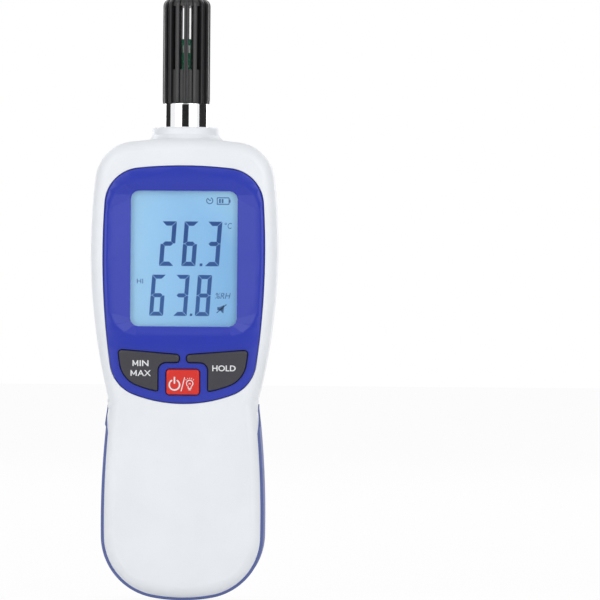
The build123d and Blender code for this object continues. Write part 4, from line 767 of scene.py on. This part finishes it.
SENSOR_GREENS = ((0.012, 0.15, 0.08), (0.05, 0.30, 0.18))
MAIN_GREENS = ((0.008, 0.10, 0.04), (0.03, 0.20, 0.09))
sensor_green = lacquered("green sensor board", (0.015, 0.16, 0.085), 0.9, (0.48, 0.52), *SENSOR_GREENS)
dress("sensor_board", sensor_green)
main_green = lacquered("green circuit board", (0.01, 0.12, 0.045), 2.0, (0.49, 0.52), *MAIN_GREENS)
dress("main_board", main_green)
chip_black = moulding("chip moulding", (0.02, 0.02, 0.022), 0.55)
for part in ("main_chip", "board_parts", "buzzer"):
    dress(part, chip_black)
dress("sensor_chip", moulding("sensor body", (0.55, 0.60, 0.58), 0.45))
dress("sensor_holder", moulding("holder plastic", (0.05, 0.05, 0.055), 0.5))
dress("ribbon_socket", moulding("socket plastic", (0.62, 0.58, 0.48), 0.5))
dress("sensor_ribbon", moulding("flat cable film", (0.55, 0.36, 0.14), 0.35))


def bricks(places):
    """Small boxes, each from its lowest and highest corner, all of their corners from one table of signs."""
    corners = np.array([(i, j, k) for i in (0, 1) for j in (0, 1) for k in (0, 1)])
    walls = np.array([(0, 1, 3, 2), (4, 6, 7, 5), (0, 4, 5, 1), (2, 3, 7, 6), (0, 2, 6, 4), (1, 5, 7, 3)])
    lows = np.array([place[:3] for place in places])
    highs = np.array([place[3:] for place in places])
    points = (lows[:, None] * (1 - corners) + highs[:, None] * corners).reshape(-1, 3)
    faces = (walls[None] + 8 * np.arange(len(places))[:, None, None]).reshape(-1, 4)
    return points, faces.tolist()


tinned = mottled("tinned pads", (0.55, 0.56, 0.56), (0.6, 0.6, 0.6), (0.45, 0.47, 0.47), 0.4, 0.3, 0.8)
BOARD_HALF = 0.5
pads = []
for side, thick, x, z, high_x, high_z in (
    (-1, 0.35, -2.9, 189.0, -1.9, 190.2),
    (-1, 0.3, 1.9, 188.6, 2.9, 190.4),
    (-1, 0.4, -2.8, 183.4, -1.8, 184.4),
    (-1, 0.4, 1.5, 185.0, 2.7, 185.4),
    (-1, 0.4, 1.5, 184.0, 2.7, 184.4),
    (-1, 0.4, -1.0, 181.6, 0.8, 182.5),
    (1, 0.35, -2.7, 188.5, -1.6, 189.9),
    (1, 0.35, 1.4, 186.0, 2.6, 187.2),
    (1, 0.4, -0.8, 183.0, 0.9, 184.2),
):
    low_y, high_y = sorted((side * BOARD_HALF, side * (BOARD_HALF + thick)))
    pads.append((x, low_y, z, high_x, high_y, high_z))
add_piece("sensor_pads", *bricks(pads), "case", "plated_contact", tinned)
amber = moulding("small capacitors", (0.42, 0.22, 0.09), 0.4)
caps = [
    (-2.6, -1.0, 185.6, -1.7, -0.5, 187.4),
    (-0.6, 0.5, 187.0, 0.3, 1.0, 188.6),
    (1.8, -0.9, 182.0, 2.6, -0.5, 183.2),
]
add_piece("sensor_caps", *bricks(caps), "case", "chip_black", amber)

# Screws and insert
# Four steel screws with hexagon sockets hold the halves together from the back, and a turned insert with a
# camera thread is pressed into the boss.

STEEL_GREYS = ((0.22, 0.22, 0.235), (0.40, 0.40, 0.42))
dark_steel = mottled("blackened steel", (0.30, 0.30, 0.32), *STEEL_GREYS, 0.6, 0.36, 1.0)
skin("case_screws", "case_screw_skins", "case", dark_steel, sharp=40)
dress("board_screws", dark_steel)
dress("crystal_can", dark_steel)

insert_metal, insert_shader, insert_place = new_finish("turned insert metal", (0.52, 0.49, 0.45), 0.28, 1.0)
stretch = {0: insert_place, 1: (1, 6, 1)}
lathe_marks = noise(insert_place.node("ShaderNodeVectorMath", {"operation": "MULTIPLY"}, stretch), 1.2)
mixed(lathe_marks, (0.36, 0.33, 0.30), (0.66, 0.64, 0.61)).feed(insert_shader.inputs["Base Color"])

INSERT_R = 4.55
GROOVE_R = 4.05
THREAD_R = 3.165
THREAD_DEPTH = 0.62
THREAD_PITCH = 1.27
THREAD_START = 0.65
INSERT_LENGTH = 9.0


def thread_grid(steps=96):
    """The insert as one grid: up its outside, over the mouth, and in along a screw thread, whose radius
    follows the depth less the turn's share of the pitch."""
    turns = np.linspace(0, 2 * math.pi, steps, endpoint=False)
    depths = np.linspace(THREAD_START, 8.6, 76)
    phase = (depths[:, None] / THREAD_PITCH - turns[None] / (2 * math.pi)) % 1.0
    ridge = np.clip(np.abs(phase - 0.5) * 2 * 1.25 - 0.12, 0, 1)
    fade_in = np.clip((depths - THREAD_START) / 0.8, 0, 1)[:, None]
    bore = THREAD_R - THREAD_DEPTH * ridge * fade_in
    outside = np.array([
        (INSERT_R, INSERT_LENGTH), (INSERT_R, 5.3), (GROOVE_R, 5.3), (GROOVE_R, 3.7), (INSERT_R, 3.7),
        (INSERT_R, 0.12), (4.42, 0.0), (3.85, 0.0), (3.75, 0.06),
    ])
    radii = np.concatenate([np.repeat(outside[:, 0, None], steps, 1), bore, np.full((2, steps), THREAD_R)])
    down = np.concatenate([outside[:, 1], depths, [8.7, INSERT_LENGTH]])
    x = radii * np.cos(turns)
    z = TRIPOD_Z + radii * np.sin(turns)
    y = np.broadcast_to(BACK_Y - down[:, None], x.shape)
    return np.stack([x, y, z], 2)


insert = add_piece("threaded_insert", *woven(thread_grid(), True), "case", "brass_insert", insert_metal, 35)
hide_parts("tripod_insert")

# Label
# Silvery film stuck in a shallow recess of the back, with rows of plain grey bars printed on it.

dress("spec_label", moulding("label film", (0.70, 0.72, 0.74), 0.38, grain=3.0, depth=0.004))
bar_ink = moulding("label print", (0.10, 0.10, 0.11), 0.5, depth=0.0)
LABEL_FACE = 14.95
BAR_THICK = 0.012
LINE_PITCH = 2.35
WORD_GAP = 0.7
LEAST_WORD = 0.5
WORDS = np.array([3.8, 1.4, 2.2, 5.1, 2.6, 4.4, 1.8, 3.2, 6.0, 2.4])
LINE_ENDS = (3.0, -1.5, 11.0, 14.2, 4.6, 13.4, 15.4, 6.2, 10.6)
label_lines = [(110.0, 1.0, -15.5, 15.2)]
for row, end in enumerate(LINE_ENDS):
    label_lines.append((107.7 - row * LINE_PITCH, 0.8, -15.8, end))
bars = []
for row, (height, tall, x, right) in enumerate(label_lines):
    for word in np.roll(WORDS, row * 3):
        end = min(x + word, right)
        if end - x > LEAST_WORD:
            low, high = height - tall / 2, height + tall / 2
            bars.append((-end, LABEL_FACE, low, -x, LABEL_FACE + BAR_THICK, high))
        x = end + WORD_GAP
add_piece("label_bars", *bricks(bars), "case", "label_film", bar_ink)

# Battery compartment
# Three small cells side by side between tinned plates, each pressed by a wound spring, under a door that
# turns on two tabs and is held by a latch.

skin("battery_door", "door_skin", "battery_door", white_plastic, sharp=30)
skin("door_latch", "latch_skin", "door_latch", white_plastic, sharp=35)

CELL_Y = 7.15
COLUMN_PITCH = 12.0
CELL_PROFILE = [
    (0, 0), (3.6, 0), (4.9, 0.05), (5.18, 0.25), (5.25, 0.6), (5.25, 42.5), (5.15, 43.0), (4.8, 43.25),
    (2.4, 43.3), (1.9, 43.35), (1.9, 44.3), (1.7, 44.5), (0, 44.5),
]
JACKET_CUT = (46.9 - TRIPOD_Z) * MM
cell_jacket, jacket_shader, jacket_place = new_finish("cell jacket", (0.03, 0.05, 0.10), 0.3)
jacket_cut = jacket_place.along("Z").between(JACKET_CUT - 0.1 * MM, JACKET_CUT + 0.1 * MM)
mixed(jacket_cut, (0.025, 0.04, 0.09), (0.55, 0.32, 0.12)).feed(jacket_shader.inputs["Base Color"])
(noise(jacket_place, 2.0) * 0.1 + 0.22).feed(jacket_shader.inputs["Roughness"])
for name, column, base, way in (("left", -1, 19.45, 1), ("middle", 0, 58.95, -1), ("right", 1, 19.45, 1)):
    grid = turned(np.array(CELL_PROFILE) * (1, way), 64) + (column * COLUMN_PITCH, CELL_Y, base)
    cell = add_piece(f"cell_{name}", *woven(grid), "case", "cell_jacket", cell_jacket, 40)
    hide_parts(f"battery_{name}")

WIRE_GREYS = ((0.55, 0.55, 0.56), (0.72, 0.72, 0.72))
bright_wire = mottled("spring wire", (0.62, 0.62, 0.63), *WIRE_GREYS, 0.5, 0.25, 1.0)
COIL_R = 2.9
COIL_TURNS = 4.5
COIL_RISE = 4.3
FLAT_SHARE = 0.12
WIRE_R = 0.3


def coil_grid(column, foot, steps=150):
    """A wound spring: a small circle carried square along a helix whose ends lie flat and close to points."""
    share = np.linspace(0, 1, steps)
    angle = 2 * math.pi * COIL_TURNS * share
    out = np.stack([np.cos(angle), np.sin(angle), np.zeros_like(angle)], 1)
    middle = out * COIL_R + (column * COLUMN_PITCH, CELL_Y, foot)
    middle[:, 2] += np.clip((share - FLAT_SHARE) / (1 - 2 * FLAT_SHARE), 0, 1) * COIL_RISE
    around = np.linspace(0, 2 * math.pi, 10, endpoint=False)
    up = np.array([0.0, 0.0, 1.0])
    ring = np.cos(around)[None, :, None] * out[:, None] + np.sin(around)[None, :, None] * up
    thin = np.full((steps, 1, 1), WIRE_R)
    thin[[0, -1]] = 0.0
    return middle[:, None] + thin * ring


coil_points, coil_faces = [], []
for column, foot in ((-1, 14.75), (0, 59.3), (1, 14.75)):
    some_points, some_faces = woven(coil_grid(column, foot))
    coil_faces += (np.array(some_faces) + len(some_points) * len(coil_points)).tolist()
    coil_points.append(some_points)
coil_points = np.concatenate(coil_points)
springs = add_piece("cell_springs", coil_points, coil_faces, "case", "spring_steel", bright_wire, 60)
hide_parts("battery_springs")
dress("battery_contacts", tinned)
dress("battery_leads", moulding("lead jacket", (0.45, 0.02, 0.02), 0.4))

# Studio
# Pale floor and white surround, two tall soft lamps either side of the camera and two behind, and dark
# cards that only the chrome and the gloss pick up.

MIDDLE_Y = -0.015


def towards(azimuth, rise=0.0):
    """The way to an azimuth, in degrees from the right, with a rise."""
    return Vector((math.cos(math.radians(azimuth)), math.sin(math.radians(azimuth)), rise))


def dark_card(name, centre, width, height, facing):
    """An upright card: four corners either side of its centre, square to the way it faces."""
    out = towards(facing)
    aside = Vector((-out.y, out.x, 0)) * width / 2
    up = Vector((0, 0, height / 2))
    corners = [centre - aside - up, centre + aside - up, centre + aside + up, centre - aside + up]
    mesh = bpy.data.meshes.new(name)
    mesh.from_pydata(corners, [], [(0, 1, 2, 3)])
    mesh.materials.append(card_black)
    card = bpy.data.objects.new(name, mesh)
    bpy.context.scene.collection.objects.link(card)
    card.visible_camera = False
    card.visible_diffuse = False
    card.visible_shadow = False


CARD_AWAY = 0.9
card_black = new_finish("studio black card", (0.01, 0.01, 0.01), 0.9)[0]
for name, azimuth, width in (("left_card", 163, 0.66), ("right_card", 12, 1.0)):
    dark_card(name, towards(azimuth) * CARD_AWAY + Vector((0, MIDDLE_Y, 0.05)), width, 1.4, azimuth)
dark_card("camera_card", Vector((-0.2, -2.1, 0.05)), 1.5, 1.2, 90)

floor_finish, floor_shader, floor_place = new_finish("pale floor", (0.86, 0.86, 0.86), 0.8)
(noise(floor_place, 60.0) * 0.04 + 0.78).feed(floor_shader.inputs["Roughness"])
floor_rays = floor_place.node("ShaderNodeLightPath", {}, {}, "Is Camera Ray")
floor_glossy = floor_place.node("ShaderNodeLightPath", {}, {}, "Is Glossy Ray")
floor_seen = floor_rays.sum("MAXIMUM", floor_rays, floor_glossy)
floor_glow = floor_place.node("ShaderNodeEmission", {}, {"Color": (1, 1, 1, 1), "Strength": 1.0})
floor_mix = floor_place.node("ShaderNodeMixShader", {}, {0: floor_seen * 0.94, 2: floor_glow})
floor_tree = floor_finish.node_tree
floor_tree.links.new(floor_shader.outputs[0], floor_mix.socket.node.inputs[1])
floor_mix.feed(floor_tree.nodes["Material Output"].inputs["Surface"])
floor_mesh = bpy.data.meshes.new("floor")
FLOOR_Z = -0.1234
FLOOR_CORNERS = [(x * 4, y * 4, FLOOR_Z) for x, y in ((-1, -1), (1, -1), (1, 1), (-1, 1))]
floor_mesh.from_pydata(FLOOR_CORNERS, [], [(0, 1, 2, 3)])
floor = bpy.data.objects.new("floor", floor_mesh)
bpy.context.scene.collection.objects.link(floor)
floor_mesh.materials.append(floor_finish)

LAMP_AWAY = 1.2
LAMP_WIDTH = 0.8
LAMP_HEIGHT = 1.3
AIM = Vector((0, MIDDLE_Y, -0.02))
for name, azimuth, power in (
    ("left_lamp", -128, 5.7),
    ("right_lamp", -52, 5.7),
    ("back_left", 128, 4.6),
    ("back_right", 52, 4.6),
):
    lamp = bpy.data.lights.new(name, "AREA")
    lamp.shape = "RECTANGLE"
    lamp.size = LAMP_WIDTH
    lamp.size_y = LAMP_HEIGHT
    lamp.energy = power
    holder = bpy.data.objects.new(name, lamp)
    bpy.context.scene.collection.objects.link(holder)
    holder.location = towards(azimuth, 0.25) * LAMP_AWAY + Vector((0, MIDDLE_Y, 0))
    holder.rotation_euler = (AIM - holder.location).to_track_quat("-Z", "Y").to_euler()
    holder.visible_camera = False

world = bpy.data.worlds.new("studio surround")
bpy.context.scene.world = world
world.use_nodes = True
surround = world.node_tree.nodes["Background"]
surround.inputs["Color"].default_value = (1, 1, 1, 1)
path = Wire(world.node_tree.nodes.new("ShaderNodeLightPath").outputs["Is Diffuse Ray"])
(1 - path * 0.45).feed(surround.inputs["Strength"])

CAMERA_AWAY = 1.6
PICTURE_WIDTH = 0.2050
CAMERA_TILT = -0.46
CAMERA_PLACE = (0.0394, MIDDLE_Y - CAMERA_AWAY, -0.0205)
lens = bpy.data.cameras.new("camera")
lens.sensor_width = 36
lens.lens = lens.sensor_width * CAMERA_AWAY / PICTURE_WIDTH
lens.clip_start = 0.05
camera = bpy.data.objects.new("camera", lens)
bpy.context.scene.collection.objects.link(camera)
camera.location = CAMERA_PLACE
camera.rotation_euler = (math.radians(90), math.radians(CAMERA_TILT), 0)
bpy.context.scene.camera = camera
bpy.context.scene.view_settings.view_transform = "Standard"
